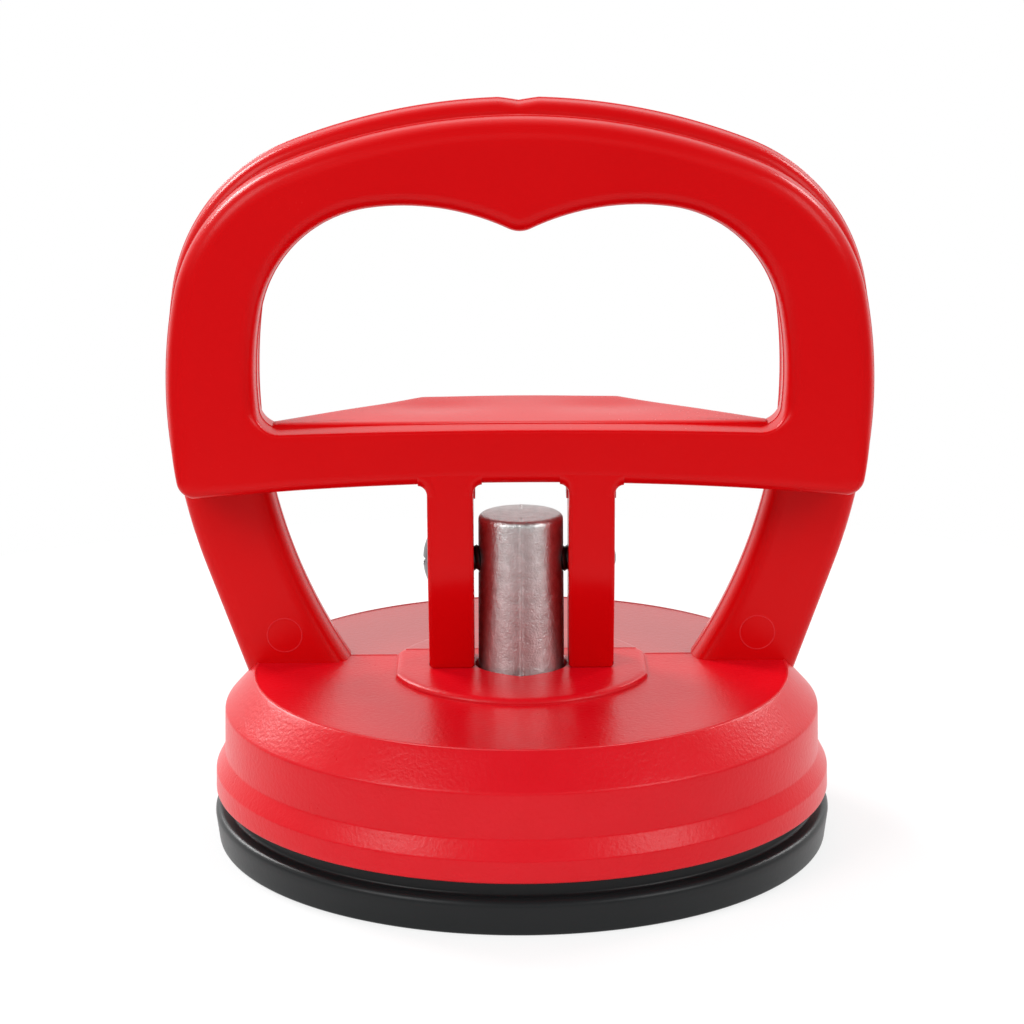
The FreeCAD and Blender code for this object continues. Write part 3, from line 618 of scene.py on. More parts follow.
def finish(name, look):
    # one finish: a Principled shader whose colour, roughness and bump come from the shared groups
    material = bpy.data.materials.new(name)
    material.use_nodes = True
    material.diffuse_color = (*look["colour"], 1)
    tree = material.node_tree
    place = placed(tree, "TexCoord").outputs["Object"]
    grain = placed(tree, "Group", node_tree=grainGroup, Vector=place, Broad=look["broad"],
                   Fine=look["fine"], **{"Fine Share": look["fineShare"]}).outputs
    wearAndHighlightMask = placed(tree, "Group", node_tree=wearHighlightGroup, Vector=place).outputs["Mask"]
    # raised edges take the worn colour, which is partly wear and partly a painted highlight along the edges
    colour = mixed(tree, wearAndHighlightMask, mixed(tree, grain["Mask"], look["colour"], look["second"]), look["wornAndHighlight"])
    roughness = ranged(tree, grain["Height"], *look["rough"])
    gloss = look["specular"]
    if "edgeGloss" in look:
        # raised edges are polished by handling
        gloss = ranged(tree, wearAndHighlightMask, gloss, look["edgeGloss"])
    if "splitColour" in look:
        # on the deck behind the parting line the tool was spark-eroded, so the skin is duller there
        axes = placed(tree, "SeparateXYZ", place).outputs
        both = reckoned(tree, "MULTIPLY",
                        reckoned(tree, "GREATER_THAN", axes["Y"], base["partingY"] * mm),
                        reckoned(tree, "GREATER_THAN", axes["Z"], (deckZ - look["splitDepth"]) * mm))
        roughness = mixed(tree, both, roughness, look["splitRough"])
        colour = mixed(tree, both, colour, look["splitColour"])
        gloss = mixed(tree, both, gloss, look["splitGloss"])
    bump = placed(tree, "Bump", Strength=look["bump"], Distance=look["bumpDistance"],
                  Height=grain["Height"]).outputs["Normal"]
    sockets = {"Base Color": colour, "Roughness": roughness, "Normal": bump, "Specular IOR Level": gloss,
               "Metallic": look.get("metallic", 0.0), "IOR": 1.5}
    if "brushed" in look:
        # brushed along Z: the tangent, which runs round the piece, is turned by a quarter, and the
        # effect fades out on faces that look up
        normal = placed(tree, "NewGeometry").outputs["Normal"]
        upward = placed(tree, "SeparateXYZ", normal).outputs["Z"]
        around = placed(tree, "VectorMath", (0, 0, 1), normal, operation="CROSS_PRODUCT")
        sockets |= {"Tangent": around.outputs["Vector"], "Anisotropic Rotation": 0.25,
                    "Anisotropic": ranged(tree, reckoned(tree, "ABSOLUTE", upward), look["brushed"], 0.0)}
    feed(tree, tree.nodes["Principled BSDF"], sockets)
    return material


# each look's worn colour is painted on raised edges and is lighter than its colour: partly wear, partly a
# painted highlight
looks = {
    "redMoulding": dict(
        colour=(0.57, 0.0006, 0.002), second=(0.61, 0.0015, 0.003), wornAndHighlight=(0.74, 0.03, 0.035),
        rough=(0.22, 0.30), broad=70.0, fine=2600.0, fineShare=0.7, bump=0.3, bumpDistance=0.00003,
        specular=0.13, edgeGloss=1.3),
    "redBase": dict(
        colour=(0.60, 0.0012, 0.006), second=(0.64, 0.002, 0.010), wornAndHighlight=(0.86, 0.13, 0.14),
        rough=(0.23, 0.37), broad=260.0, fine=2700.0, fineShare=0.7, bump=0.85, bumpDistance=0.00006,
        specular=0.25, edgeGloss=0.8, splitColour=(0.46, 0.012, 0.014), splitRough=0.30,
        splitGloss=1.3, splitDepth=0.2),
    "blackRubber": dict(
        colour=(0.009, 0.010, 0.0105), second=(0.013, 0.014, 0.015), wornAndHighlight=(0.10, 0.10, 0.10),
        rough=(0.28, 0.42), broad=150.0, fine=2600.0, fineShare=0.5, bump=0.4, bumpDistance=0.00004,
        specular=0.2, edgeGloss=0.7),
    "castMetal": dict(
        colour=(0.44, 0.44, 0.435), second=(0.80, 0.795, 0.79), wornAndHighlight=(0.9, 0.88, 0.87),
        rough=(0.30, 0.50), broad=1300.0, fine=5200.0, fineShare=0.6, bump=1.0, bumpDistance=0.00009,
        metallic=0.95, specular=0.5, brushed=0.8),
    "brightSteel": dict(
        colour=(0.58, 0.58, 0.59), second=(0.68, 0.68, 0.69), wornAndHighlight=(0.8, 0.8, 0.8),
        rough=(0.20, 0.34), broad=700.0, fine=4000.0, fineShare=0.5, bump=0.3, bumpDistance=0.00003,
        metallic=1.0, specular=0.5),
    "zincPlate": dict(
        colour=(0.10, 0.10, 0.105), second=(0.22, 0.22, 0.23), wornAndHighlight=(0.6, 0.6, 0.6),
        rough=(0.26, 0.42), broad=1400.0, fine=4500.0, fineShare=0.5, bump=0.5, bumpDistance=0.00003,
        metallic=1.0, specular=0.5),
}
finishes = {name: finish(name, look) for name, look in looks.items()}
print("finishes ready")

# base with its fixed grip


def gripSurface():
    widestZ = grip["widestZ"]
    footZ = deckZ - base["roof"] + grip["footLift"]
    drop = widestZ - footZ
    top = crown(grip["top"], grip["topRadius"])
    side = flank(grip["halfWidth"], grip["sideRadius"], widestZ)
    leg, legRadius = flank(grip["halfWidth"], grip["legRadius"], widestZ)
    crest = touching(grip["shoulderRadius"], top, side, farUp)
    bend = leg + legRadius * np.exp(-1j * np.arcsin(grip["legBend"] / legRadius))
    slope = (bend - leg) * -1j
    foot = bend + slope / abs(slope) * (bend.imag - footZ) / (-slope.imag / abs(slope))
    widest = grip["halfWidth"] + 1j * widestZ
    right = chain(1j * grip["top"], [top, crest, side], widest) + [(leg, widest, bend), foot]
    outer, outerIn = outlineOf(mirrorPieces(right) + right)

    top = crown(grip["innerTop"], grip["innerTopRadius"])
    side, sideRadius = flank(grip["innerHalfWidth"], grip["innerSideRadius"], widestZ)
    turn = touching(grip["innerShoulderRadius"], top, (side, sideRadius), farUp)
    foot = side + sideRadius * np.exp(-1j * np.arcsin(drop / sideRadius))
    right = chain(1j * grip["innerTop"], [top, turn, (side, sideRadius)], foot)
    inner, innerIn = outlineOf(mirrorPieces(right) + right)

    # pairs of points: on rays from the middle above the widest height, level with each other below it
    def spread(path, normal, stations):
        level = path.imag < widestZ
        station = np.where(level, -np.sign(path.real) * (path.imag - widestZ) / grip["levelScale"],
                           np.pi / 2 - np.angle(path - 1j * widestZ))
        station = np.where(level, station + np.sign(path.real) * np.pi / 2, station)
        order = np.argsort(station)
        values = [np.interp(stations, station[order], part[order])
                  for part in (path.real, path.imag, normal.real, normal.imag)]
        across = values[2] + 1j * values[3]
        return values[0] + 1j * values[1], across / abs(across)

    end = np.pi / 2 + drop / grip["levelScale"]
    stations = np.sort(np.r_[np.linspace(-end, end, 420), np.linspace(-0.06, 0.06, 25)])
    outerPoint, outerNormal = spread(outer, outerIn, stations)
    innerPoint, innerNormal = spread(inner, innerIn, stations)
    notch = grip["notchDepth"] * np.clip(1 - abs(outerPoint.real) / grip["notchHalfWidth"], 0, 1)
    outerPoint = outerPoint - 1j * notch * (outerPoint.imag > widestZ)
    rows = barSection(grip["front"], grip["rear"], base["partingY"], grip["draft"], grip["seam"],
                      grip["rearRound"], grip["innerCrease"])
    even = np.ones(len(stations))
    return barSurface(outerPoint, outerNormal, innerPoint, -innerNormal, grip["outerRound"] * even,
                      grip["innerRound"] * even, rows)


def housingProfile():
    bandZ = base["skirtZ"] + base["bandHeight"]
    waistZ = bandZ + base["flareHeight"]
    shoulderZ = waistZ + base["wallHeight"]
    roofZ = deckZ - base["roof"]
    inner = base["waistRadius"] - base["wall"]
    return subdivided(rounded([
        (base["bore"], roofZ - base["guideDepth"], 0.2),
        (base["guideRadius"], roofZ - base["guideDepth"], 0.3),
        (base["guideRadius"], roofZ, 0.6),
        (inner - base["roofChamfer"], roofZ, 0.8),
        (inner, roofZ - base["roofChamfer"], 0.8),
        (inner, waistZ, 0.4),
        (base["skirtRadius"] - base["wall"], bandZ, 0.4),
        (base["skirtRadius"] - base["wall"], base["skirtZ"], 0.1),
        (base["skirtRadius"], base["skirtZ"], 0.2),
        (base["skirtRadius"] - base["bandDraft"], bandZ, 0.5),
        (base["waistRadius"], waistZ, 0.5),
        (base["waistRadius"] - base["wallDraft"], shoulderZ, 0.5),
        (base["deckRadius"], deckZ, 0.35),
        (base["bore"], deckZ, 0.05),
    ]), 0.8)


def bossSurface():
    # a disc cut flat on two sides, r = min(R, flat / |cos a|), its rim a quarter ellipse, with a bore
    # that opens into a small notch in front
    angle = roundAngles(288)[:, None]
    foot = np.minimum(base["bossRadius"], base["bossFlat"] / np.maximum(abs(np.cos(angle)), 1e-6))
    topZ = deckZ + base["bossHeight"]
    wide, high = base["bossBevel"]
    quarter = np.linspace(0, np.pi / 2, 8)[None]
    fade = np.linspace(0, 1, 8)[None, 1:-1]
    notch = np.clip(1 - abs((angle - 1.5 * np.pi) / np.radians(base["boreNotchHalfAngle"])), 0, 1)
    hole = base["bore"] + base["boreNotch"] * notch
    mouth, rootZ = hole + base["boreBevel"], deckZ - base["bossRoot"]
    rim = foot - wide * (1 - np.cos(quarter))
    radius = np.concatenate([hole, foot, rim, (foot - wide) * (1 - fade) + mouth * fade, mouth, hole], 1)
    height = np.r_[rootZ, rootZ, topZ - high + high * np.sin(quarter[0]),
                   np.full(fade.size, topZ), topZ, topZ - base["boreBevel"]]
    return swept(radius, angle, height[None])


def bead(path, up, wide, high, closed=False, steps=8):
    # a low rib along a path: the path plus across * wide cos b plus up * high sin b
    up = np.broadcast_to(np.array(up, float), path.shape)
    before = np.roll(path, 1, 0) if closed else np.r_[path[:1], path[:-1]]
    after = np.roll(path, -1, 0) if closed else np.r_[path[1:], path[-1:]]
    across = np.cross(after - before, up)
    across /= np.linalg.norm(across, axis=1)[:, None]
    turn = roundAngles(steps)[None, :, None]
    points = path[:, None] + across[:, None] * wide * np.cos(turn) + up[:, None] * high * np.sin(turn)
    return closedGrid(points) if closed else tubeGrid(points)


def circlePath(radius, count=128):
    return radius * swept(1, roundAngles(count), 0)[:, :2]


def mouldMarks():
    # the parting line over deck and boss, the bead at the deck's rim, and the ejector rings
    y, gap = base["partingY"], base["beadGap"]
    deckEnd = np.sqrt(base["deckRadius"] ** 2 - y ** 2)
    boreEnd = np.sqrt((base["bore"] + base["boreBevel"]) ** 2 - y ** 2) + gap
    runs = ((base["bossFlat"] + gap, deckEnd, 40, deckZ, base["deckBead"]),
            (boreEnd, base["bossFlat"] - base["bossBevel"][0], 20, deckZ + base["bossHeight"],
             base["bossBead"]))
    ring = circlePath(grip["ejectorRadius"])
    marks = []
    for sign in (-1, 1):
        for start, end, count, z, size in runs:
            x = np.linspace(sign * start, sign * end, count)
            marks.append(bead(np.stack([x, 0 * x + y, 0 * x + z], 1), (0, 0, 1), *size))
        place = np.stack([ring[:, 0] + sign * grip["ejectorX"], 0 * ring[:, 0] + grip["front"],
                          ring[:, 1] + grip["ejectorZ"]], 1)
        marks.append(bead(place, (0, 1, 0), *grip["ejectorBead"], closed=True))
    rim = circlePath(base["deckRadius"] - base["rimBead"][0], 256)
    rim = np.c_[rim, np.full(len(rim), deckZ - base["rimBeadSink"])]
    marks.append(bead(rim, (0, 0, 1), *base["rimBead"], closed=True))
    return marks


def makeBase():
    addPiece("baseShell", [closedGrid(turned(housingProfile(), 256))], "redBase", "base",
             ["base_housing"])
    addPiece("baseGrip", [tubeGrid(gripSurface())], "redMoulding", "base", sharp=50.0)
    addPiece("baseBoss", [closedGrid(bossSurface())], "redBase", "base")
    addPiece("mouldMarks", mouldMarks(), "redBase", "base")
    print("base made")


# rubber pad, plate, post and spring

pad = {
    "edgeRadius": 28.5,
    "footRadius": 28.1,
    "rimHeight": 3.2,
    "stepRadius": 27.0,
    "spigotRadius": 25.9,
    "spigotInner": 24.2,
    "lipRadius": 22.5,
    "web": 1.9,
    "hubRadius": 10.7,
    "pocketRadius": 9.1,
    "hubFloor": 1.8,
    "lap": 0.1,                       # how far the pad's own pieces run into each other
    "keep": 0.45,
}
pocketZ = plateLow[2] - pad["lap"]
webRise = pocketZ - pad["hubFloor"]

post = {
    "radius": postHigh[0],
    "taper": 0.125,
    "tenon": 2.5,
    "edgeRound": 0.55,
    "seamHeight": 0.05,
    "seamWidth": 0.14,
    "seamReach": 0.5,
    "footRound": 0.1,
    "tenonRound": 0.2,
    "faceRadius": 3.2,
    "faceFade": (0.2, 0.3),           # down, inward
    "hollow": (0.05, 1.1),            # depth, reach
    "nick": (0.09, 0.13),             # depth, half width
    "nickStart": (1.6, 0.5),          # from which radius, over what length
    "holeRadius": 1.35,
    "holeReach": 10.0,
}

spring = {"wire": 0.4, "turns": 4.0, "easing": 0.13, "keep": 0.999}


def webLoop():
    # the web falls from hub to lip by z = h (1 - t t (3 - 2 t)), the same above and below
    t = np.linspace(0, 1, 40)
    radius = pad["hubRadius"] - pad["lap"] + (pad["lipRadius"] + 2 * pad["lap"] - pad["hubRadius"]) * t
    below = webRise * (1 - t * t * (3 - 2 * t))
    bottom = np.stack([radius, below], 1)
    top = np.stack([radius, below + pad["web"]], 1)[::-1]
    return np.concatenate([bottom, top])


def makePad():
    rim = subdivided(rounded([
        (pad["lipRadius"], 0.0, 0.2),
        (pad["footRadius"], 0.0, 0.3),
        (pad["edgeRadius"], pad["rimHeight"], 0.6),
        (pad["stepRadius"], pad["rimHeight"], 0.3),
        (pad["stepRadius"], base["skirtZ"], 0.15),
        (pad["spigotRadius"], base["skirtZ"], 0.1),
        (pad["spigotRadius"], padHigh[2], 0.25),
        (pad["spigotInner"], padHigh[2], 0.25),
        (pad["spigotInner"], pad["rimHeight"], 0.6),
        (pad["lipRadius"], pad["web"], 0.3),
    ]), 0.7)
    addPiece("padRim", [closedGrid(turned(rim, 256))], "blackRubber", "base",
             ["suction_pad"])
    web = addPiece("padWeb", [closedGrid(turned(webLoop(), 192))], "blackRubber", "base")
    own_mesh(web)
    hub = np.array([(0, webRise), (3, webRise), (7, webRise), (pad["hubRadius"], webRise),
                    (pad["hubRadius"], plateHigh[2]), (pad["pocketRadius"], plateHigh[2]),
                    (pad["pocketRadius"], pocketZ), (0, pocketZ)])
    addPiece("padHub", [poleGrid(turned(hub, 192))], "blackRubber", "post")
    print("pad made")


def drilled(piece, startX, endX, radius):
    # cuts a round hole through a piece, along X at the pivot's height
    start, end = (Vector((x * mm, 0, pivotZ * mm)) for x in (startX, endX))
    mesh = bpy.data.meshes.new("drill")
    work = bmesh.new()
    turn = (end - start).to_track_quat("Z", "Y").to_matrix().to_4x4()
    bmesh.ops.create_cone(work, cap_ends=True, segments=64, radius1=radius * mm, radius2=radius * mm,
                          depth=(end - start).length,
                          matrix=Matrix.Translation((start + end) / 2) @ turn)
    work.to_mesh(mesh)
    work.free()
    drill = inScene("drill", mesh)
    cut = piece.modifiers.new("hole", "BOOLEAN")
    cut.object = drill
    cut.operation = "DIFFERENCE"
    cut.solver = "EXACT"
    bpy.context.view_layer.update()
    graph = bpy.context.evaluated_depsgraph_get()
    made = bpy.data.meshes.new_from_object(piece.evaluated_get(graph))
    piece.modifiers.clear()
    made.name = piece.name
    piece.data = made
    bpy.data.objects.remove(drill)
    made.set_sharp_from_angle(angle=np.radians(meshing["sharp"]))
    made.attributes.remove(made.attributes["edge"])
    markEdges(made)


def makePost():
    low, foot, high = plateLow[2], plateHigh[2], postHigh[2]
    rim = rounded([(0, high, 0), (post["radius"] - post["taper"], high, post["edgeRound"]),
                   (post["radius"], foot, post["footRound"]), (post["tenon"], foot, 0),
                   (post["tenon"], low, post["tenonRound"]), (0, low, 0)], 8)
    profile = subdivided(rim, 0.35)
    profile = profile[:np.argmax(profile[:, 1] <= low + 1e-9) + 1]
    profile = np.concatenate([[[0, high]], profile[profile[:, 0] > 1e-9], [[0, low]]])
    points = turned(profile, 384)
    # the parting seam: a low rib r + h exp(-(d / w)^2) down the front and the back
    across = abs(points[..., 0])
    radius = np.hypot(points[..., 0], points[..., 1])
    body = np.clip((radius - post["tenon"]) / post["seamReach"], 0, 1)
    rib = post["seamHeight"] * np.exp(-(across / post["seamWidth"]) ** 2) * body
    points[..., :2] *= (1 + rib / np.maximum(radius, 1e-6))[..., None]
    # its flat top is pressed a little hollow and is nicked where the seam crosses its edge
    (down, inward), (depth, reach), (nick, width) = post["faceFade"], post["hollow"], post["nick"]
    start, grow = post["nickStart"]
    face = (np.clip((points[..., 2] - high + down) / down, 0, 1)
            * np.clip((post["faceRadius"] - radius) / inward, 0, 1))
    cut = nick * np.exp(-(across / width) ** 2) * np.clip((radius - start) / grow, 0, 1)
    points[..., 2] -= face * (depth * np.exp(-(radius / reach) ** 2) + cut)
    piece = addPiece("postBody", [poleGrid(points)], "castMetal", None,
                     ["lift_post"])
    drilled(piece, -post["holeReach"], post["holeReach"], post["holeRadius"])
    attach(piece, "post")

    disc = subdivided(rounded([(post["tenon"], low, 0), (plateHigh[0], low, 0.2),
                               (plateHigh[0], foot, 0.2), (post["tenon"], foot, 0)]), 0.8)
    addPiece("padPlate", [closedGrid(turned(disc, 160))], "brightSteel", "post",
             ["pad_plate"])
    print("post made")


def makeSpring():
    # wire round a helix whose rise eases to nothing at both ends: z = low + h (t - k sin 2 pi t)
    t = np.linspace(0, 1, 420)
    radius = springHigh[0] - spring["wire"]
    low, high = springLow[2] + spring["wire"], springHigh[2] - spring["wire"]
    angle = 2 * np.pi * spring["turns"] * t
    height = low + (high - low) * (t - spring["easing"] * np.sin(2 * np.pi * t))
    centre = swept(radius, angle, height)
    along = np.gradient(centre, axis=0)
    along /= np.linalg.norm(along, axis=1)[:, None]
    out = swept(1, angle, 0)
    up = np.cross(along, out)
    turn = roundAngles(20)
    ring = (out[:, None] * np.cos(turn)[None, :, None] + up[:, None] * np.sin(turn)[None, :, None])
    piece = addPiece("returnSpring", [tubeGrid(centre[:, None] + ring * spring["wire"])],
                     "brightSteel", "base", ["return_spring"])
    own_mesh(piece)
    print("spring made")


# squeeze lever and its screw


def earLoop(topZ):
    footZ = deckZ + base["bossHeight"] + ear["footGap"]
    front, rear = lever["front"] + ear["setback"], ear["rear"]
    back, below, bend = ear["nose"]
    return subdivided(rounded([
        (front, topZ, 0), (front, pivotZ - below, bend), (front + back, footZ, ear["toeRound"]),
        (rear, footZ, ear["heelRound"]), (rear, topZ, 0)]), 0.8)


def earJoin(edgeX, openSide):
    # fills the corner between an ear's side and the bar: points lie at C + p (cos t, sin t), the
    # distance p and y from a rounded section whose edge round grows from the ear's to the bar's
    reach = ear["join"]
    middleX = edgeX + openSide * reach
    middleZ = lever["barBottom"] - middleX ** 2 / (2 * lever["barBottomRadius"]) - reach
    turn = np.linspace(0, np.pi / 2, 16)[:, None]
    edge = eased(ear["edgeRound"], lever["bottomRound"], turn / (np.pi / 2))
    quarter = np.linspace(0, np.pi / 2, 7)[None]
    front, rear = lever["front"] + ear["joinSetback"], lever["rear"] - ear["joinShort"]
    deep = np.linspace(0.15, 1, 6)[None]
    inside = reach + edge + (ear["joinDepth"] - edge) * deep
    distance = np.concatenate([reach + 0 * turn, reach + edge * (1 - np.cos(quarter)), inside,
                               reach + ear["joinDepth"] + 0 * turn], 1)
    y = np.concatenate([rear + 0 * turn, front + edge * (1 - np.sin(quarter)),
                        front + ear["joinCrown"] * deep ** 2 + 0 * turn, rear + 0 * turn], 1)
    x = middleX - openSide * distance * np.cos(turn)
    return tubeGrid(np.stack([x, y, middleZ + distance * np.sin(turn)], -1))


def makeLever():
    outline, window = leverOutlines()
    middle = 1j * lever["middleZ"]
    angles = rayAngles([outline, window], middle)
    outer, outerIn = byAngle(outline, middle, angles)
    inner, innerOut = byAngle(window, middle, angles)
    (low, lowReach), (high, highReach) = lever["bottomBlend"], lever["windowBlend"]
    outerRound = eased(lever["bottomRound"], lever["edgeRound"],
                       (outer.imag - lever["barBottom"] + low) / lowReach)
    innerRound = eased(lever["windowRound"], lever["barEdgeRound"],
                       (lever["barTop"] + high - inner.imag) / highReach)
    rows = barSection(*(lever[key] for key in ("front", "rear", "parting", "draft", "seam", "rearRound")))
    loop = barSurface(outer, outerIn, inner, -innerOut, outerRound, innerRound, rows)
    addPiece("leverLoop", [closedGrid(loop)], "redMoulding", "lever", ["squeeze_lever"])

    shelfTop = lever["barTop"] - shelf["step"]
    inside = lever["parting"] - shelf["inside"]
    root, (tipX, tipY), corner = shelf["root"], shelf["tip"], shelf["corner"]
    plan = subdivided(rounded([
        (root[0], inside, 0), (*root, 0), (tipX, tipY, corner),
        (0, shelf["rear"], shelf["rearRadius"]),
        (-tipX, tipY, corner), (-root[0], root[1], 0), (-root[0], inside, 0)]), 0.6)
    ledge = ringed(slab(plan, shelfTop - shelf["thickness"], shelfTop, *shelf["rims"]), 24)
    x, y = ledge[..., 0], ledge[..., 1]
    # the face sinks a little at two places: z falls by d exp(-(dx / a)^2 - (dy / b)^2)
    (sinkX, sinkY), (reachX, reachY) = shelf["sinkPlace"], shelf["sinkReach"]
    sink = sum(np.exp(-((x - side * sinkX) / reachX) ** 2 - ((y - sinkY) / reachY) ** 2)
               for side in (-1, 1))
    # and it dips where it runs in under the bar's top edge
    start, reach = shelf["dipReach"]
    dip = shelf["dip"] * smooth((inside + start - y) / reach)
    ledge[..., 2] -= (shelf["sink"] * sink + dip) * (ledge[..., 2] > shelfTop - shelf["faceDepth"])
    addPiece("leverShelf", [tubeGrid(ledge)], "redMoulding", "lever")

    joins = [earJoin(sign * edge, sign * side) for sign in (-1, 1)
             for edge, side in ((ear["inner"], -1), (ear["outer"], 1))]
    (wide, tall), (lap, short, edgeRound) = ear["step"], ear["stepLap"]
    bottom, front, rear = lever["barBottom"], lever["parting"], lever["rear"] - short
    for edge, side in ((-ear["inner"], 1), (-ear["inner"], -1), (ear["outer"], 1)):
        step = [(edge - lap, front), (edge + wide, front), (edge + wide, rear), (edge - lap, rear)]
        joins.append(tubeGrid(slab(np.array(step) * (side, 1), bottom - tall, bottom + lap, edgeRound)))
    addPiece("leverEarJoins", joins, "redMoulding", "lever")

    near, far = ear["holeReach"]
    for name, sign in (("leverEarLeft", -1), ("leverEarRight", 1)):
        blade = slab(earLoop(shelfTop - ear["rootDrop"]), ear["inner"], ear["outer"], ear["edgeRound"])
        points = np.stack([sign * blade[..., 2], blade[..., 0], blade[..., 1]], -1)
        piece = addPiece(name, [tubeGrid(points)], "redMoulding", None)
        drilled(piece, sign * near, sign * far, ear["screwHole"])
        if sign < 0:
            drilled(piece, -ear["headSeatX"], -far, ear["headHole"])
        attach(piece, "lever")
    print("lever made")


screw = {
    "headRadius": 2.7,
    "headHeight": 1.7,
    "headRim": 0.85,                  # the dome's foot, from the head's outer end
    "headBevel": 0.1,
    "dome": 0.8,
    "recessDepth": 0.75,
    "recessHalfWidth": 0.34,
    "recessReach": 1.45,
    "recessSlopes": (0.1, 0.15),      # beside the arms, at their ends
    "shankRadius": 1.02,
    "threadHeight": 0.46,
    "pitch": 0.7,
    "tip": 0.4,
}


def makeScrew():
    headX, tipX = screwLow[0], screwHigh[0]
    seatX, capX = headX + screw["headHeight"], tipX - screw["tip"]
    # the shank's thread is a helical ridge r = r0 + a |saw(turn - x / pitch)|
    x = np.linspace(seatX, capX, 700)[:, None]
    angle = roundAngles(48)[None]
    phase = (angle / (2 * np.pi) - x / screw["pitch"]) % 1
    radius = screw["shankRadius"] + screw["threadHeight"] * np.abs(phase - 0.5)
    # its end is rounded off to a point on the axis
    tip = np.linspace(0, 1, 8)[1:, None] * np.pi / 2
    x = np.concatenate([x, capX + screw["tip"] * np.sin(tip)])
    radius = np.concatenate([radius, screw["shankRadius"] * np.cos(tip) + 0 * angle])
    shank = np.stack([x + 0 * angle, radius * np.cos(angle), pivotZ + radius * np.sin(angle)], -1)
    # a pan head with a cross recess: two arms with sloping walls, and the deeper one counts
    share = np.linspace(0, 1, 60)[:, None]
    turn = roundAngles(192)[None]
    reach = screw["headRadius"] * share
    a, b = np.abs(reach * np.cos(turn)), np.abs(reach * np.sin(turn))
    beside, end = screw["recessSlopes"]
    arms = [np.clip((screw["recessHalfWidth"] - p) / beside, 0, 1)
            * np.clip((screw["recessReach"] - q) / end, 0, 1) for p, q in ((a, b), (b, a))]
    dome = screw["dome"] * (1 - share ** 2) - screw["recessDepth"] * np.maximum(*arms)
    bevel = screw["headBevel"]
    depth = np.array([[screw["headRim"]], [screw["headHeight"] - bevel], [screw["headHeight"]]])
    width = screw["headRadius"] - np.array([[0], [0], [bevel]])
    x = np.concatenate([headX + screw["dome"] - dome, headX + depth + 0 * turn])
    reach = np.concatenate([reach + 0 * turn, width + 0 * turn])
    head = np.stack([x, reach * np.cos(turn), pivotZ + reach * np.sin(turn)], -1)
    addPiece("pivotScrew", [tubeGrid(shank), tubeGrid(head)], "zincPlate", "lever",
             ["pivot_screw"])
    print("screw made")
makeBase()
makePad()
makePost()
makeSpring()
makeLever()
makeScrew()

# floor, light and camera

studio = {
    "sheetRadius": 0.12,
    "sheetColour": 0.86,
    "sheetRough": 0.9,
    "sheetGloss": 0.1,
    "sheetGlow": 1.07,
    "sheetGlowShare": 0.65,
    "fill": 0.62,
    "frontGloss": 0.04,
    "backdropReach": (-0.05, 0.6),    # from front to back, where the backdrop turns from dark to white
    "backdropRise": 0.15,
    "bandHeight": 0.42,               # the front band's middle, half width and strength for gloss
    "bandReach": (0.08, 0.3),
    "bandGlow": 1.0,
    "cameraDistance": 270.0,
    "cameraAzimuth": -0.4,
    "cameraElevation": 13.7,
    "aimZ": 30.0,
    "lens": 104.1,
    "shiftX": -0.0085,
    "clipStart": 0.01,
    "roll": 0.25,
}


lamps = {                             # place and side in metres, power in watts
    "leftBox": ((-0.45, -0.35, 0.45), 0.3, 1.9),
    "rightBox": ((0.5, -0.35, 0.4), 0.3, 1.5),
    "leftHair": ((-0.42, 0.42, 0.42), 0.26, 3.4),
    "rightHair": ((0.46, 0.4, 0.42), 0.2, 1.5),
}


def makeLamp(name, place, side, power):
    data = bpy.data.lights.new(name, "AREA")
    data.size = side
    data.energy = power
    lamp = inScene(name, data)
    lamp.location = place
    aim = Vector((0, 0, studio["aimZ"] * mm))
    lamp.rotation_euler = (aim - Vector(place)).to_track_quat("-Z", "Y").to_euler()
def whiteToView(tree, light, white):
    # what camera, glossy and clear rays meet is the pale studio, the rest is light
    rays = placed(tree, "LightPath").outputs
    seen = reckoned(tree, "MAXIMUM", rays["Is Camera Ray"], rays["Is Glossy Ray"])
    seen = reckoned(tree, "MAXIMUM", seen, rays["Is Transmission Ray"])
    return placed(tree, "MixShader", seen, light, white).outputs["Shader"]


def makeFloor():
    # a round sheet of pale paper
    ring = circlePath(studio["sheetRadius"], 96)
    mesh = bpy.data.meshes.new("floor")
    mesh.from_pydata(np.c_[ring, np.zeros(len(ring))].tolist(), [], [list(range(len(ring)))])
    floor = inScene("floor", mesh)
    material = bpy.data.materials.new("floorPaper")
    material.use_nodes = True
    tree = material.node_tree
    shader = tree.nodes["Principled BSDF"]
    feed(tree, shader, {"Base Color": (*[studio["sheetColour"]] * 3, 1), "Roughness": studio["sheetRough"],
                        "Specular IOR Level": studio["sheetGloss"]})
    paper = shader.outputs["BSDF"]
    glow = placed(tree, "Emission", Strength=studio["sheetGlow"]).outputs["Emission"]
    bright = placed(tree, "MixShader", studio["sheetGlowShare"], paper, glow).outputs["Shader"]
    feed(tree, tree.nodes["Material Output"], {"Surface": whiteToView(tree, paper, bright)})
    mesh.materials.append(material)


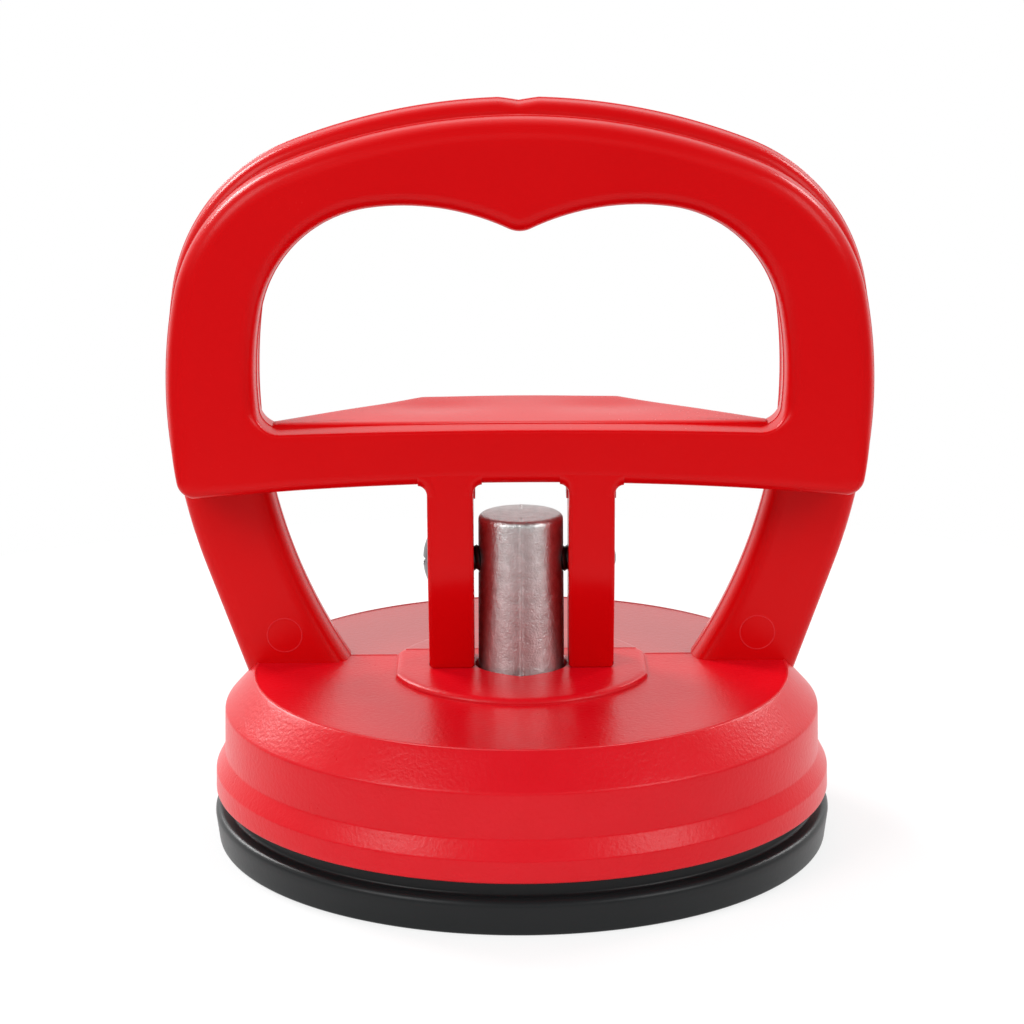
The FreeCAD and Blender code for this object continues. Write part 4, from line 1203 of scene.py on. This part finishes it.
def makeWorld():
    # white to the camera, an even fill for diffuse light, and for gloss a white backdrop that
    # darkens smoothly towards the front and has one soft band of light
    world = bpy.data.worlds.new("studio")
    bpy.context.scene.world = world
    world.use_nodes = True
    tree = world.node_tree
    fill = tree.nodes["Background"]
    feed(tree, fill, {"Color": (1, 1, 1, 1), "Strength": studio["fill"]})
    way = placed(tree, "SeparateXYZ", placed(tree, "TexCoord").outputs["Generated"]).outputs
    lean = reckoned(tree, "MULTIPLY_ADD", way["Z"], studio["backdropRise"], way["Y"])
    backdrop = ranged(tree, lean, studio["frontGloss"], 1.0, *studio["backdropReach"], "SMOOTHSTEP")
    near, far = studio["bandReach"]
    off = reckoned(tree, "ABSOLUTE", reckoned(tree, "SUBTRACT", way["Z"], studio["bandHeight"]))
    band = ranged(tree, off, 0.0, studio["bandGlow"], far, near, "SMOOTHSTEP")
    gloss = mixed(tree, placed(tree, "LightPath").outputs["Is Glossy Ray"], 1.0,
                  reckoned(tree, "MAXIMUM", backdrop, band))
    white = placed(tree, "Background", Color=(1, 1, 1, 1), Strength=gloss).outputs["Background"]
    lit = whiteToView(tree, fill.outputs["Background"], white)
    feed(tree, tree.nodes["World Output"], {"Surface": lit})


def makeCamera():
    data = bpy.data.cameras.new("camera")
    data.lens = studio["lens"]
    data.shift_x = studio["shiftX"]
    data.clip_start = studio["clipStart"]
    camera = inScene("camera", data)
    tilt, side = np.radians(studio["cameraElevation"]), np.radians(studio["cameraAzimuth"])
    away = Vector((np.cos(tilt) * np.sin(side), -np.cos(tilt) * np.cos(side), np.sin(tilt)))
    away *= studio["cameraDistance"] * mm
    camera.location = Vector((0, 0, studio["aimZ"] * mm)) + away
    roll = Matrix.Rotation(-np.radians(studio["roll"]), 3, "Z")
    camera.rotation_euler = ((-away).to_track_quat("-Z", "Y").to_matrix() @ roll).to_euler()
    bpy.context.scene.camera = camera


makeFloor()
makeWorld()
for name, lamp in lamps.items():
    makeLamp(name, *lamp)
makeCamera()
bpy.context.scene.view_settings.view_transform = "Standard"
print("studio ready")


def corners(bounds):
    return [[float(value) for value in corner] for corner in bounds]
